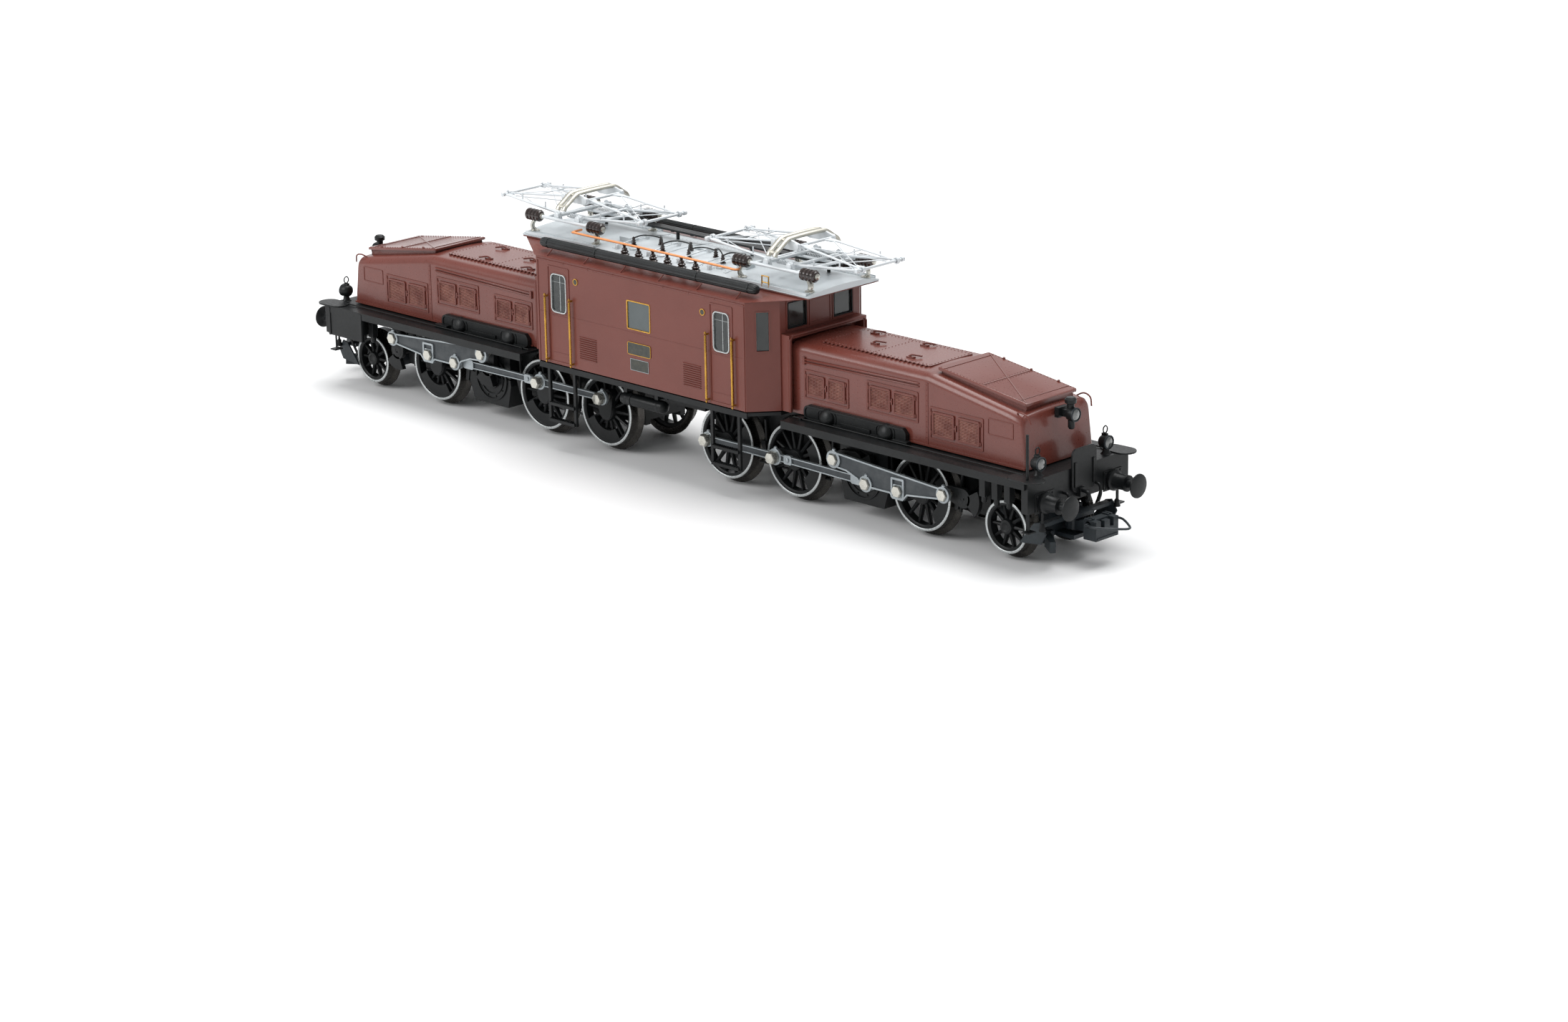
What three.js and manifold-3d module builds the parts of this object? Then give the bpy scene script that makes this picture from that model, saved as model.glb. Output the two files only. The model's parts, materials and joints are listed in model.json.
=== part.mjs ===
// Articulated electric locomotive, an H0 (1:87) model: a middle cab on two driving bogies.
// Millimetres, +Z up, +X towards end A. The model group lifts everything so that z = 0 is the
// lowest point of the wheel flanges; inside the group, heights are counted from the rail top.
import * as THREE from "three";
import { mergeVertices } from "three/addons/utils/BufferGeometryUtils.js";
import Module from "manifold-3d";

const wasm = await Module();
wasm.setup();

// ---------------------------------------------------------------- driving dimensions
const GAP = 0.3; // clearance between neighbouring pieces
const FLANGE = 1.2; // wheel flange depth below the rail top

const DRIVER_R = 7.75; // driving wheel tread radius
const PONY_R = 5.45; // pony wheel tread radius
const DRIVER_X = [72.5, 37.5, 18.13]; // driving axles from the middle of the locomotive, outer first
const PONY_X = 94.64;
const JACK = { x: 55, z: 10.9 }; // jackshaft axis
const IDLER = { x: 84.5, z: 9.4 }; // support shaft axis
const ROD_JOINT = { x: 63.8, z: 7.5 }; // coupling rod pin on the triangle rod, cranks at zero throw
const CRANK = 3.5; // crank throw of every rod-driven shaft
const WHEEL_BACK = 7.15; // half of the back-to-back distance
const WHEEL_FACE = 9.95;
const AXLE_R = 1.5;
const PIN_R = 0.8;
const PIN_END = 13.9; // outer face of the crank-pin heads
const HEAD_R = 1.35;
const TRIANGLE_ROD_Y = [12.6, 13.3];
const COUPLING_ROD_Y = [11.5, 12.2];
// Crank angles in the X-Z plane of the locomotive, degrees: right side (-Y) and left side (+Y) of each end.
const CRANK_ANGLE = { a: { right: 172, left: 262 }, b: { right: 75, left: 345 } };

const SWIVEL_X = 33; // bogie swivel pin
const PONY_PIVOT_X = 80;
const COUPLER_PIVOT_X = 103.5;

const CAB = { sideX: 31, sideY: 17, endX: 35.6, endY: 11.6, low: 18.1, top: 40.9, wall: 1.1 };
const HANDRAIL = { x: [20.3, 27.8], y: 17.75, low: 18.3, high: 33.2, r: 0.2, stud: 18.05 };
const COLLAR = { x: 37.8, y: 11.3, top: 34, wall: 0.8 };
const EAVE_TOP = 41.9;
const ROOF = { x: 42.4, y: 10.4, low: 42.2, edge: 42.6, crown: 43.5 };
const HOOD = { start: 37, shoulderX: 74, noseLow: 100, noseTop: 98.6, y: 9.9, low: 17.8, top: 32.4,
  noseTopZ: 28.2, crown: 0.35, wall: 1 };
const LID = { x: [74.6, 97.7], z: [33.5, 30.2], y: 7.5, thick: 0.6 };
const TANK = { x: [41.2, 69.3], y: [9.3, 10.8], top: 20.4, corner: 1.1 };
const FOOTPLATE = { x: [39, 104], y: 15.4, z: [17, 17.5] };
const BEAM = { x: [102.9, 104.5], y: 14.9, low: 11 };
const BUFFER = { y: 10.06, z: 12.5, face: 111.5, headR: 2.45 };
const LOOP_TIP = 117.5;

const PANTO_X = 31.2;
const PANTO = { base: 47, pivot: 3.2, knee: 21.1, kneeRise: 1.9, baseY: 8.2 };

// ---------------------------------------------------------------- materials
const finish = (color, roughness, metalness) => new THREE.MeshStandardMaterial({ color, roughness, metalness });
const PAINT = {
  brown: finish(0x6d362e, 0.45, 0),
  black: finish(0x1f2224, 0.55, 0),
  silver: finish(0x9aa2a6, 0.4, 0.4),
  cooler: finish(0x34393b, 0.5, 0.1),
  steel: finish(0x8d9497, 0.3, 0.8),
  nickel: finish(0xb5b09c, 0.3, 0.9),
  orange: finish(0xe2571c, 0.5, 0),
  brass: finish(0xb98d3a, 0.3, 0.9),
  copper: finish(0x7c4a2d, 0.4, 0.8),
  board: finish(0x1f5a38, 0.6, 0),
  glass: finish(0xbfd0cc, 0.1, 0),
};

// ---------------------------------------------------------------- solids
// A closed geometry as a manifold solid: vertices merged, zero-width triangles dropped.
function solid(geometry) {
  const loose = geometry.index ? geometry.toNonIndexed() : geometry;
  const bare = new THREE.BufferGeometry().setAttribute("position", loose.getAttribute("position"));
  const merged = mergeVertices(bare, 1e-4);
  const kept = [];
  const index = merged.index.array;
  for (let i = 0; i < index.length; i += 3) {
    const [a, b, c] = [index[i], index[i + 1], index[i + 2]];
    if (a !== b && b !== c && c !== a) kept.push(a, b, c);
  }
  return new wasm.Manifold(
    new wasm.Mesh({
      numProp: 3,
      vertProperties: merged.attributes.position.array,
      triVerts: new Uint32Array(kept),
    }),
  );
}

const join = (...solids) => solids.flat().reduce((sum, next) => sum.add(next));
const cut = (body, ...tools) => tools.flat().reduce((rest, tool) => rest.subtract(tool), body);

// A box between two values on each axis.
function box([x0, x1], [y0, y1], [z0, z1]) {
  const g = new THREE.BoxGeometry(x1 - x0, y1 - y0, z1 - z0);
  return solid(g.translate((x0 + x1) / 2, (y0 + y1) / 2, (z0 + z1) / 2));
}

// Two boxes, the second mirrored to the other side of y = 0.
const boxPair = (x, [y0, y1], z) => [box(x, [y0, y1], z), box(x, [-y1, -y0], z)];

const UP = new THREE.Vector3(0, 1, 0);

// A round bar from one point to another.
function bar(from, to, radius, sides = 10) {
  const a = new THREE.Vector3(...from);
  const b = new THREE.Vector3(...to);
  const g = new THREE.CylinderGeometry(radius, radius, a.distanceTo(b), sides);
  const turn = new THREE.Quaternion().setFromUnitVectors(UP, b.clone().sub(a).normalize());
  return solid(g.applyQuaternion(turn).translate(...a.add(b).multiplyScalar(0.5).toArray()));
}

const barY = (x, z, y0, y1, radius, sides) => bar([x, y0, z], [x, y1, z], radius, sides);

function outline(points) {
  return new THREE.Shape(points.map(([u, v]) => new THREE.Vector2(u, v)));
}

const extruded = (shape, depth, curveSegments = 6) =>
  new THREE.ExtrudeGeometry(shape, { depth, bevelEnabled: false, curveSegments });

// An outline in X and Z, given thickness along Y.
const plateXZ = (shape, [y0, y1]) =>
  solid(extruded(shape, y1 - y0).rotateX(Math.PI / 2).translate(0, y1, 0));

// An outline in Y and Z, drawn out along X.
function prismYZ(shape, [x0, x1]) {
  const turn = new THREE.Matrix4().makeBasis(
    new THREE.Vector3(0, 1, 0), new THREE.Vector3(0, 0, 1), new THREE.Vector3(1, 0, 0));
  return solid(extruded(shape, x1 - x0).applyMatrix4(turn).translate(x0, 0, 0));
}

// An outline in X and Y, raised along Z.
const slabXY = (shape, [z0, z1]) => solid(extruded(shape, z1 - z0).translate(0, 0, z0));

// A profile of [radius, y] pairs turned about the Y axis.
function turned(profile, segments = 16) {
  return solid(new THREE.LatheGeometry(profile.map(([r, y]) => new THREE.Vector2(r, y)), segments));
}

// A wire of round section along a smooth path.
function wire(points, radius, steps, closed = false, sides = 8) {
  const path = new THREE.CatmullRomCurve3(points.map((p) => new THREE.Vector3(...p)), closed, "centripetal");
  const section = outline(
    Array.from({ length: sides }, (_, i) => {
      const angle = (2 * Math.PI * i) / sides;
      return [radius * Math.cos(angle), radius * Math.sin(angle)];
    }),
  );
  return solid(new THREE.ExtrudeGeometry(section, { steps, extrudePath: path, bevelEnabled: false }));
}

// A skin over a row of closed sections with equal point counts, capped flat at both ends.
function loft(sections) {
  const n = sections[0].length;
  const triangles = [];
  const put = (...corners) => corners.forEach((c) => triangles.push(...c));
  for (let s = 0; s < sections.length - 1; s++) {
    for (let i = 0; i < n; i++) {
      const j = (i + 1) % n;
      const [a, b, c, d] = [sections[s][i], sections[s][j], sections[s + 1][j], sections[s + 1][i]];
      put(a, b, c);
      put(a, c, d);
    }
  }
  const [first, last] = [sections[0], sections[sections.length - 1]];
  for (let i = 1; i < n - 1; i++) {
    put(first[0], first[i + 1], first[i]);
    put(last[0], last[i], last[i + 1]);
  }
  const g = new THREE.BufferGeometry();
  return solid(g.setAttribute("position", new THREE.Float32BufferAttribute(triangles, 3)));
}

function part(name, material, manifold, position = [0, 0, 0]) {
  const { vertProperties, triVerts } = manifold.getMesh();
  const g = new THREE.BufferGeometry();
  g.setAttribute("position", new THREE.BufferAttribute(vertProperties, 3));
  g.setIndex(new THREE.BufferAttribute(triVerts, 1));
  g.computeVertexNormals();
  const mesh = new THREE.Mesh(g, material);
  mesh.name = name;
  mesh.position.set(...position);
  return mesh;
}

const radians = THREE.MathUtils.degToRad;

// ---------------------------------------------------------------- cab section
// The cab's plan: straight sides, chamfered corners and flat ends, drawn in by `inset`.
function cabPlan(inset) {
  const [sx, sy, ex, ey] = [CAB.sideX - inset / 2, CAB.sideY - inset, CAB.endX - inset, CAB.endY - inset / 2];
  return [[ex, -ey], [ex, ey], [sx, sy], [-sx, sy], [-ex, ey], [-ex, -ey], [-sx, -sy], [sx, -sy]];
}

const atHeight = (plan, z) => plan.map(([x, y]) => [x, y, z]);

// Window openings: [centre, width, low, high] along each wall.
const SIDE_WINDOWS = [[-24.2, 4.4, 29.5, 37.6], [0, 6.8, 29.7, 35.7], [24.2, 4.4, 29.5, 37.6]];
const END_WINDOWS = [[-6.7, 5.6, 34.6, 40.2], [6.7, 5.6, 34.6, 40.2]];
const CORNER_WINDOW = { width: 2.6, low: 30.6, high: 38.8 };

// Cutters for every window of the cab, long enough to pass right through it.
function windowCutters() {
  const reach = 60;
  const sides = SIDE_WINDOWS.map(([x, w, low, high]) => box([x - w / 2, x + w / 2], [-reach, reach], [low, high]));
  const ends = END_WINDOWS.map(([y, w, low, high]) => box([-reach, reach], [y - w / 2, y + w / 2], [low, high]));
  const corners = [1, -1].map((side) => {
    const slope = Math.atan2(CAB.endX - CAB.sideX, CAB.sideY - CAB.endY);
    const { width, low, high } = CORNER_WINDOW;
    return [1, -1].map((end) => {
      const g = new THREE.BoxGeometry(width, 6, high - low).rotateZ(-end * side * (Math.PI / 2 - slope));
      const [x, y] = [(CAB.sideX + CAB.endX) / 2, (CAB.sideY + CAB.endY) / 2];
      return solid(g.translate(end * x, side * y, (low + high) / 2));
    });
  });
  return [sides, ends, corners].flat(2);
}

// Upright grab rail beside a door, on a stud at each end.
function handrail(x, side) {
  const { y, low, high, r, stud } = HANDRAIL;
  const studs = [low + 0.6, high - 0.6].map((z) => barY(x, z, ...sided(side, [CAB.sideY - 0.3, stud]), r, 6));
  return join(bar([x, side * y, low], [x, side * y, high], r, 6), studs);
}

// Casing: plan walls, flared eaves under the roof overhang, and a collar round each hood.
function cabShell() {
  const eaveLow = cabPlan(-0.2);
  const [rx, ry] = [ROOF.x - 0.2, ROOF.y - 0.1];
  const eaveHigh = [[rx, -ry + 1], [rx, ry - 1], [rx - 1, ry], [1 - rx, ry], [-rx, ry - 1], [-rx, 1 - ry],
    [1 - rx, -ry], [rx - 1, -ry]];
  const walls = loft([atHeight(cabPlan(0), CAB.low), atHeight(cabPlan(0), CAB.top + 0.05)]);
  const eaves = loft([atHeight(eaveLow, CAB.top), atHeight(eaveHigh, EAVE_TOP)]);
  const hollow = loft([atHeight(cabPlan(CAB.wall), CAB.low - 1), atHeight(cabPlan(CAB.wall), CAB.top - 0.3)]);
  const { x, y, top, wall } = COLLAR;
  const collars = [1, -1].map((end) => {
    const span = (a, b) => (end > 0 ? [a, b] : [-b, -a]);
    const block = box(span(CAB.endX - 0.5, x), [-y, y], [CAB.low, top]);
    const passage = box(span(CAB.endX, x + 1), [wall - y, y - wall], [CAB.low - 1, top - wall]);
    return cut(block, passage);
  });
  const shaftWay = box([-50, 50], [-5, 5], [20, 30]);
  const rails = HANDRAIL.x.flatMap((at) => [-at, at]).flatMap((at) => [-1, 1].map((side) => handrail(at, side)));
  return join(cut(join(walls, eaves, collars), hollow, shaftWay, windowCutters()), rails);
}

// Clear insert that lines the walls at window height.
function cabGlazing() {
  const [low, high] = [29, CAB.top - 0.3 - GAP];
  const inset = CAB.wall + GAP;
  const outer = loft([atHeight(cabPlan(inset), low), atHeight(cabPlan(inset), high)]);
  const inner = loft([atHeight(cabPlan(inset + 0.6), low - 1), atHeight(cabPlan(inset + 0.6), high + 1)]);
  return cut(outer, inner);
}

// Roof plate with a gentle crown.
function cabRoof() {
  const { x, y, low, edge, crown } = ROOF;
  const steps = 8;
  const arch = Array.from({ length: steps + 1 }, (_, i) => {
    const v = y - (2 * y * i) / steps;
    return [v, edge + (crown - edge) * (1 - (v / y) ** 2)];
  });
  return prismYZ(outline([[-y, low], [y, low], ...arch]), [-x, x]);
}

// One step ladder: two stiles, two treads, hung from the sill at (x, side).
function ladder(x, side) {
  const [half, inner, outer, low, high] = [3.9, 16.1, 16.7, 5.1, 17];
  const y = side > 0 ? [inner, outer] : [-outer, -inner];
  const stiles = [x - half, x + half].map((at) => box([at - 0.35, at + 0.35], y, [low, high]));
  const treads = [low, low + 3.6].map((z) => box([x - half, x + half], [y[0] - 0.35, y[1] + 0.35], [z, z + 0.6]));
  return join(stiles, treads);
}

const RESERVOIR = { x: [-9.8, 3.5], y: -13, z: 12.9, r: 1.35 };

// Floor, sills, ladders, swivel pins and the belly box between the bogies.
function underframe() {
  const [floorLow, floorHigh] = [17.1, CAB.low - GAP];
  const [sillLow, sillIn, sillOut] = [16.6, 15.9, 16.9];
  const floor = loft([atHeight(cabPlan(0.2), floorLow), atHeight(cabPlan(0.2), floorHigh)]);
  const sills = boxPair([-CAB.sideX, CAB.sideX], [sillIn, sillOut], [sillLow, floorHigh]);
  const ladders = [-1, 1].flatMap((end) => [-1, 1].map((side) => ladder(end * 24.5, side)));
  const pins = [-1, 1].map((end) => bar([end * SWIVEL_X, 0, 13], [end * SWIVEL_X, 0, floorLow + 0.1], AXLE_R));
  const belly = box([-7.8, 7.8], [-6, 6], [11.5, floorLow + 0.1]);
  const { x, y, z, r } = RESERVOIR;
  const straps = [x[0] + 2, x[1] - 2].map((at) =>
    box([at - 0.5, at + 0.5], [y - 1, y + 1], [z + r + GAP, floorLow + 0.1]));
  return join(floor, sills, ladders, pins, belly, straps);
}

const MOTOR = { x: 13, y: 7.5, z: [19.5, 35.5], boreR: 6.6 };
const MOTOR_AXIS_Z = (MOTOR.z[0] + MOTOR.z[1]) / 2;

function motor() {
  const can = box([-MOTOR.x, MOTOR.x], [-MOTOR.y, MOTOR.y], MOTOR.z);
  const bore = bar([-MOTOR.x - 1, 0, MOTOR_AXIS_Z], [MOTOR.x + 1, 0, MOTOR_AXIS_Z], MOTOR.boreR, 16);
  return cut(can, bore);
}

// Shaft with the armature in the middle and a flywheel outside each end of the motor.
function motorRotor() {
  const z = MOTOR_AXIS_Z;
  const along = (x0, x1, r, sides) => bar([x0, 0, z], [x1, 0, z], r, sides);
  return join(along(-24, 24, 1, 8), along(-11, 11, 6, 16), along(15, 21, 6, 16), along(-21, -15, 6, 16));
}

function cooler(side) {
  return bar([-32, side * 14.3, 43], [32, side * 14.3, 43], 1.3, 14);
}

// Boards on short legs along the left half of the roof.
function roofWalkway() {
  const legs = [-33, -11, 11, 33].map((x) => box([x - 0.4, x + 0.4], [5, 5.8], [ROOF.crown, 45]));
  return join(box([-36, 36], [4.3, 6.5], [44.9, 45.5]), legs);
}

function busbar() {
  return wire([[-27.4, -7, 45], [-27.3, -9.4, 45], [-26, -9.8, 45], [-2, -10, 45], [20, -10.2, 44.9],
    [21.5, -10, 44.8], [21.8, -9.05, 44.8]], 0.35, 16, false, 5);
}

// ---------------------------------------------------------------- pantographs
// Everything is drawn about the middle of the pantograph, folded down.
const KNEE_Z = PANTO.base + PANTO.kneeRise;
const TOP_Z = KNEE_Z + PANTO.kneeRise;

function pantographBase() {
  const { base, pivot, baseY } = PANTO;
  const [beamLow, beamHigh] = [base - 1, base - 0.1];
  const beams = boxPair([-7.8, 7.8], [baseY - 0.4, baseY + 0.4], [beamLow, beamHigh]);
  const ties = [-6, 6].map((x) => box([x - 0.5, x + 0.5], [-baseY, baseY], [beamLow, base - 0.4]));
  const lugs = [-pivot, pivot].flatMap((x) => boxPair([x - 1.1, x + 1.1], [6.6, 7.9], [beamLow, base + 1.1]));
  const bores = [-pivot, pivot].map((x) => barY(x, base, -7.7, 7.7, 0.8, 8));
  const feet = [-9.5, 9.5].flatMap((x) => [-baseY, baseY].map((y) => {
    const insulator = bar([x - 2.1, y, beamHigh - 0.5], [x + 2.1, y, beamHigh - 0.5], 1.3, 8);
    const leg = box([x - 0.5, x + 0.5], [y - 0.5, y + 0.5], [ROOF.edge + 0.8, beamHigh - 0.5]);
    return join(insulator, leg);
  }));
  return join(cut(join(beams, ties, lugs), bores), feet);
}

// A lower arm: shaft in the base, two tubes and the knee tube. `end` is the knee's side.
function lowerArm(end) {
  const { base, pivot, knee, kneeRise } = PANTO;
  const at = (x, y) => [end * x, y, base + (kneeRise * (x - pivot)) / (knee - pivot)];
  const tubes = [-1, 1].map((s) => bar(at(pivot, 5.6 * s), at(knee, 6.2 * s), 0.4, 6));
  return join(barY(end * pivot, base, -7.4, 7.4, 0.45, 6), barY(end * knee, KNEE_Z, -6.8, 6.8, 0.45, 6),
    tubes);
}

// An upper arm: eyes on the knee tube, two tubes and the top shaft.
function upperArm(end) {
  const { pivot, knee, kneeRise } = PANTO;
  const at = (x, y) => [end * x, y, TOP_Z - (kneeRise * (x - pivot)) / (knee - pivot)];
  const eyes = [-5, 5].map((y) => cut(barY(end * knee, KNEE_Z, y - 0.4, y + 0.4, 1.15, 10),
    barY(end * knee, KNEE_Z, y - 1, y + 1, 0.8, 8)));
  const tubes = [-1, 1].map((s) => bar(at(pivot, 4.1 * s), at(knee - 0.95, 4.95 * s), 0.35, 6));
  return join(eyes, tubes, barY(end * pivot, TOP_Z, -5.5, 5.5, 0.4, 6));
}

// Collector head: two bows with down-turned horns on two hinge plates.
function pantographHead() {
  const bows = [-0.9, 0.9].map((x) => wire([[x, -9.3, 49], [x, -7.7, 50.4], [x, -5.8, 51.7], [x, 0, 52.1],
    [x, 5.8, 51.7], [x, 7.7, 50.4], [x, 9.3, 49]], 0.45, 12, false, 5));
  const reach = PANTO.pivot + 1;
  const plates = boxPair([-reach, reach], [4.8, 5.3], [TOP_Z - 1, TOP_Z + 1.2]);
  const bores = [-1, 1].map((end) => barY(end * PANTO.pivot, TOP_Z, -6, 6, 0.75, 8));
  return join(cut(join(plates), bores), bows);
}

function pantograph(label) {
  const group = new THREE.Group();
  group.add(
    part(`pantograph_base_${label}`, PAINT.silver, pantographBase()),
    part(`lower_arm_front_${label}`, PAINT.silver, lowerArm(1)),
    part(`lower_arm_rear_${label}`, PAINT.silver, lowerArm(-1)),
    part(`upper_arm_front_${label}`, PAINT.silver, upperArm(1)),
    part(`upper_arm_rear_${label}`, PAINT.silver, upperArm(-1)),
    part(`collector_head_${label}`, PAINT.nickel, pantographHead()),
  );
  return group;
}

// ---------------------------------------------------------------- bogies
// A bogie is drawn at end A; end B is the same turned half round, with its own crank angles.

// Crank throw of one side as an offset in the bogie's own X and Z.
function throwOf(label, side) {
  const end = label === "a" ? 1 : -1;
  const angle = radians(CRANK_ANGLE[label][side * end < 0 ? "right" : "left"]);
  return [end * CRANK * Math.cos(angle), CRANK * Math.sin(angle)];
}

const sided = (side, [y0, y1]) => (side > 0 ? [y0, y1] : [-y1, -y0]);

// Crank pin with its hexagonal head, about the shaft's own axis.
function crankPin(label, side, from, headFrom) {
  const [dx, dz] = throwOf(label, side);
  const along = (y0, y1, r, sides) => barY(dx, dz, ...sided(side, [y0, y1]), r, sides);
  return join(along(from, headFrom + 0.1, PIN_R, 8), along(headFrom, PIN_END, HEAD_R, 6));
}

// Two wheels on an axle as one turned profile.
function wheelPair(treadR, hubR, hubFace, axleR) {
  const half = [[0, hubFace], [hubR, hubFace], [hubR, WHEEL_FACE], [treadR, WHEEL_FACE], [treadR, 8],
    [treadR + FLANGE, 7.75], [treadR + FLANGE, WHEEL_BACK], [axleR, WHEEL_BACK]];
  return turned([...half.map(([r, y]) => [r, -y]), ...half.reverse()]);
}

function drivingWheelset(label, headFrom) {
  const wheels = wheelPair(DRIVER_R, 2.3, 10.3, AXLE_R);
  return join(wheels, [-1, 1].map((side) => crankPin(label, side, WHEEL_FACE - 0.1, headFrom)));
}

// Crank web from a hub to the pin, with a sector-shaped counterweight on the other side.
function crankWeb(label, side, [y0, y1], hubR, weightR) {
  const [dx, dz] = throwOf(label, side);
  const spread = radians(38);
  const away = Math.atan2(-dz, -dx);
  const hub = barY(0, 0, ...sided(side, [y0, y1]), hubR, 10);
  const across = [-dz / CRANK, dx / CRANK];
  const arm = outline([[across[0] * 1.9, across[1] * 1.9], [-across[0] * 1.9, -across[1] * 1.9],
    [dx - across[0] * 1.6, dz - across[1] * 1.6], [dx + across[0] * 1.6, dz + across[1] * 1.6]]);
  const fan = new THREE.Shape().moveTo(0, 0);
  fan.lineTo(weightR * Math.cos(away - spread), weightR * Math.sin(away - spread));
  fan.absarc(0, 0, weightR, away - spread, away + spread, false);
  return join(hub, plateXZ(arm, sided(side, [y0, y1])), plateXZ(fan, sided(side, [y0, y1])));
}

function crankedShaft(label, shaftR, webY, hubR, weightR) {
  const shaft = barY(0, 0, -webY[0] - 0.1, webY[0] + 0.1, shaftR, 8);
  const ends = [-1, 1].map((side) => join(crankWeb(label, side, webY, hubR, weightR),
    crankPin(label, side, webY[1] - 0.1, TRIANGLE_ROD_Y[1] + 0.1)));
  return join(shaft, ends);
}

const disc = (x, z, y, r, sides = 10) => barY(x, z, ...y, r, sides);

// Rod that joins the jackshaft, the outer driving axle's slot and the support shaft.
function triangleRod(label, side) {
  const [dx, dz] = throwOf(label, side);
  const y = sided(side, TRIANGLE_ROD_Y);
  const web = outline([[54.9, 9.4], [58.6, 9.1], [61.6, 8], [63.2, 6.4], [65, 6.9], [70.4, 6.9], [71.1, 6],
    [73.9, 6], [75.1, 7.3], [83.8, 8.3], [84.4, 10.6], [55.4, 12.5]]);
  const eyes = [disc(JACK.x, JACK.z, y, 1.85), disc(IDLER.x, IDLER.z, y, 1.7), disc(ROD_JOINT.x, ROD_JOINT.z, y, 1.7)];
  const reach = sided(side, [TRIANGLE_ROD_Y[0] - 1, TRIANGLE_ROD_Y[1] + 1]);
  const slot = box([DRIVER_X[0] - 1.15, DRIVER_X[0] + 1.15], reach, [6.7, 9.9]);
  const holes = [JACK, IDLER].map((p) => disc(p.x, p.z, reach, PIN_R + GAP, 8));
  const pin = disc(ROD_JOINT.x, ROD_JOINT.z, sided(side, [11.1, TRIANGLE_ROD_Y[0] + 0.1]), PIN_R, 8);
  const head = disc(ROD_JOINT.x, ROD_JOINT.z, sided(side, [TRIANGLE_ROD_Y[1] - 0.1, PIN_END]), HEAD_R, 6);
  return join(cut(join(plateXZ(web, y), eyes), slot, holes), pin, head).translate([dx, 0, dz]);
}

// Rod from the triangle rod to the two inner driving axles.
function couplingRod(label, side) {
  const [dx, dz] = throwOf(label, side);
  const y = sided(side, COUPLING_ROD_Y);
  const pins = [{ x: DRIVER_X[2], z: DRIVER_R }, { x: DRIVER_X[1], z: DRIVER_R }, ROD_JOINT];
  const beam = outline([...pins.map((p) => [p.x, p.z - 0.65]), ...pins.map((p) => [p.x, p.z + 0.65]).reverse()]);
  const eyes = pins.map((p) => disc(p.x, p.z, y, 1.6));
  const reach = sided(side, [COUPLING_ROD_Y[0] - 1, COUPLING_ROD_Y[1] + 1]);
  const holes = pins.map((p) => disc(p.x, p.z, reach, PIN_R + GAP, 8));
  return cut(join(plateXZ(beam, y), eyes), holes).translate([dx, 0, dz]);
}

// Hood section at one place: straight sides, rounded shoulders and a crowned top.
function hoodSection(xAt, inset, top, low) {
  const y = HOOD.y - inset;
  const round = 1.5;
  const high = top - inset;
  const corner = [0, 1, 2, 3].map((i) => {
    const angle = (i * Math.PI) / 6;
    return [y - round + round * Math.cos(angle), high - round + round * Math.sin(angle)];
  });
  const half = [[y, low], ...corner, [y / 2, high + HOOD.crown * 0.75]];
  const points = [...half, [0, high + HOOD.crown], ...half.map(([v, z]) => [-v, z]).reverse()];
  return points.map(([v, z]) => [xAt(z), v, z]);
}

function hood() {
  const noseX = (z) => HOOD.noseLow - ((HOOD.noseLow - HOOD.noseTop) * (z - HOOD.low)) / (HOOD.noseTopZ - HOOD.low);
  const { start, shoulderX, top, noseTopZ, low, wall } = HOOD;
  const outer = loft([hoodSection(() => start, 0, top, low), hoodSection(() => shoulderX, 0, top, low),
    hoodSection(noseX, 0, noseTopZ, low)]);
  const inner = loft([hoodSection(() => start + wall, wall, top, low - 1),
    hoodSection(() => shoulderX, wall, top, low - 1), hoodSection((z) => noseX(z) - wall, wall, noseTopZ, low - 1)]);
  const lid = plateXZ(outline([[LID.x[0], LID.z[0] - LID.thick], [LID.x[1], LID.z[1] - LID.thick],
    [LID.x[1], LID.z[1]], [LID.x[0], LID.z[0]]]), [-LID.y, LID.y]);
  const lidBase = plateXZ(outline([[LID.x[0] + 0.9, 31.7], [LID.x[1] - 0.8, 28], [LID.x[1] - 0.8, LID.z[1] - 0.4],
    [LID.x[0] + 0.9, LID.z[0] - 0.5]]), [-LID.y + 0.7, LID.y - 0.7]);
  const recess = box([TANK.x[0] - GAP, TANK.x[1] + GAP], [-12, 12], [low - 1, TANK.top + GAP]);
  return join(cut(outer, inner, recess), lid, lidBase);
}

// Side plate outline: low between the wheels, raised over the gearbox and the pony wheels.
function sidePlate(y) {
  const [low, gearLow, ponyLow, cabTop, top] = [5, 8.6, 13.2, 16.2, FOOTPLATE.z[0] + 0.2];
  const plate = outline([[10.5, low], [48, low], [48, gearLow], [64.5, gearLow], [64.5, low], [87, low],
    [87, ponyLow], [BEAM.x[0] + 0.2, ponyLow], [BEAM.x[0] + 0.2, top], [FOOTPLATE.x[0] + 1, top],
    [FOOTPLATE.x[0] + 1, cabTop], [10.5, cabTop]]);
  return plateXZ(plate, y);
}

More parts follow.
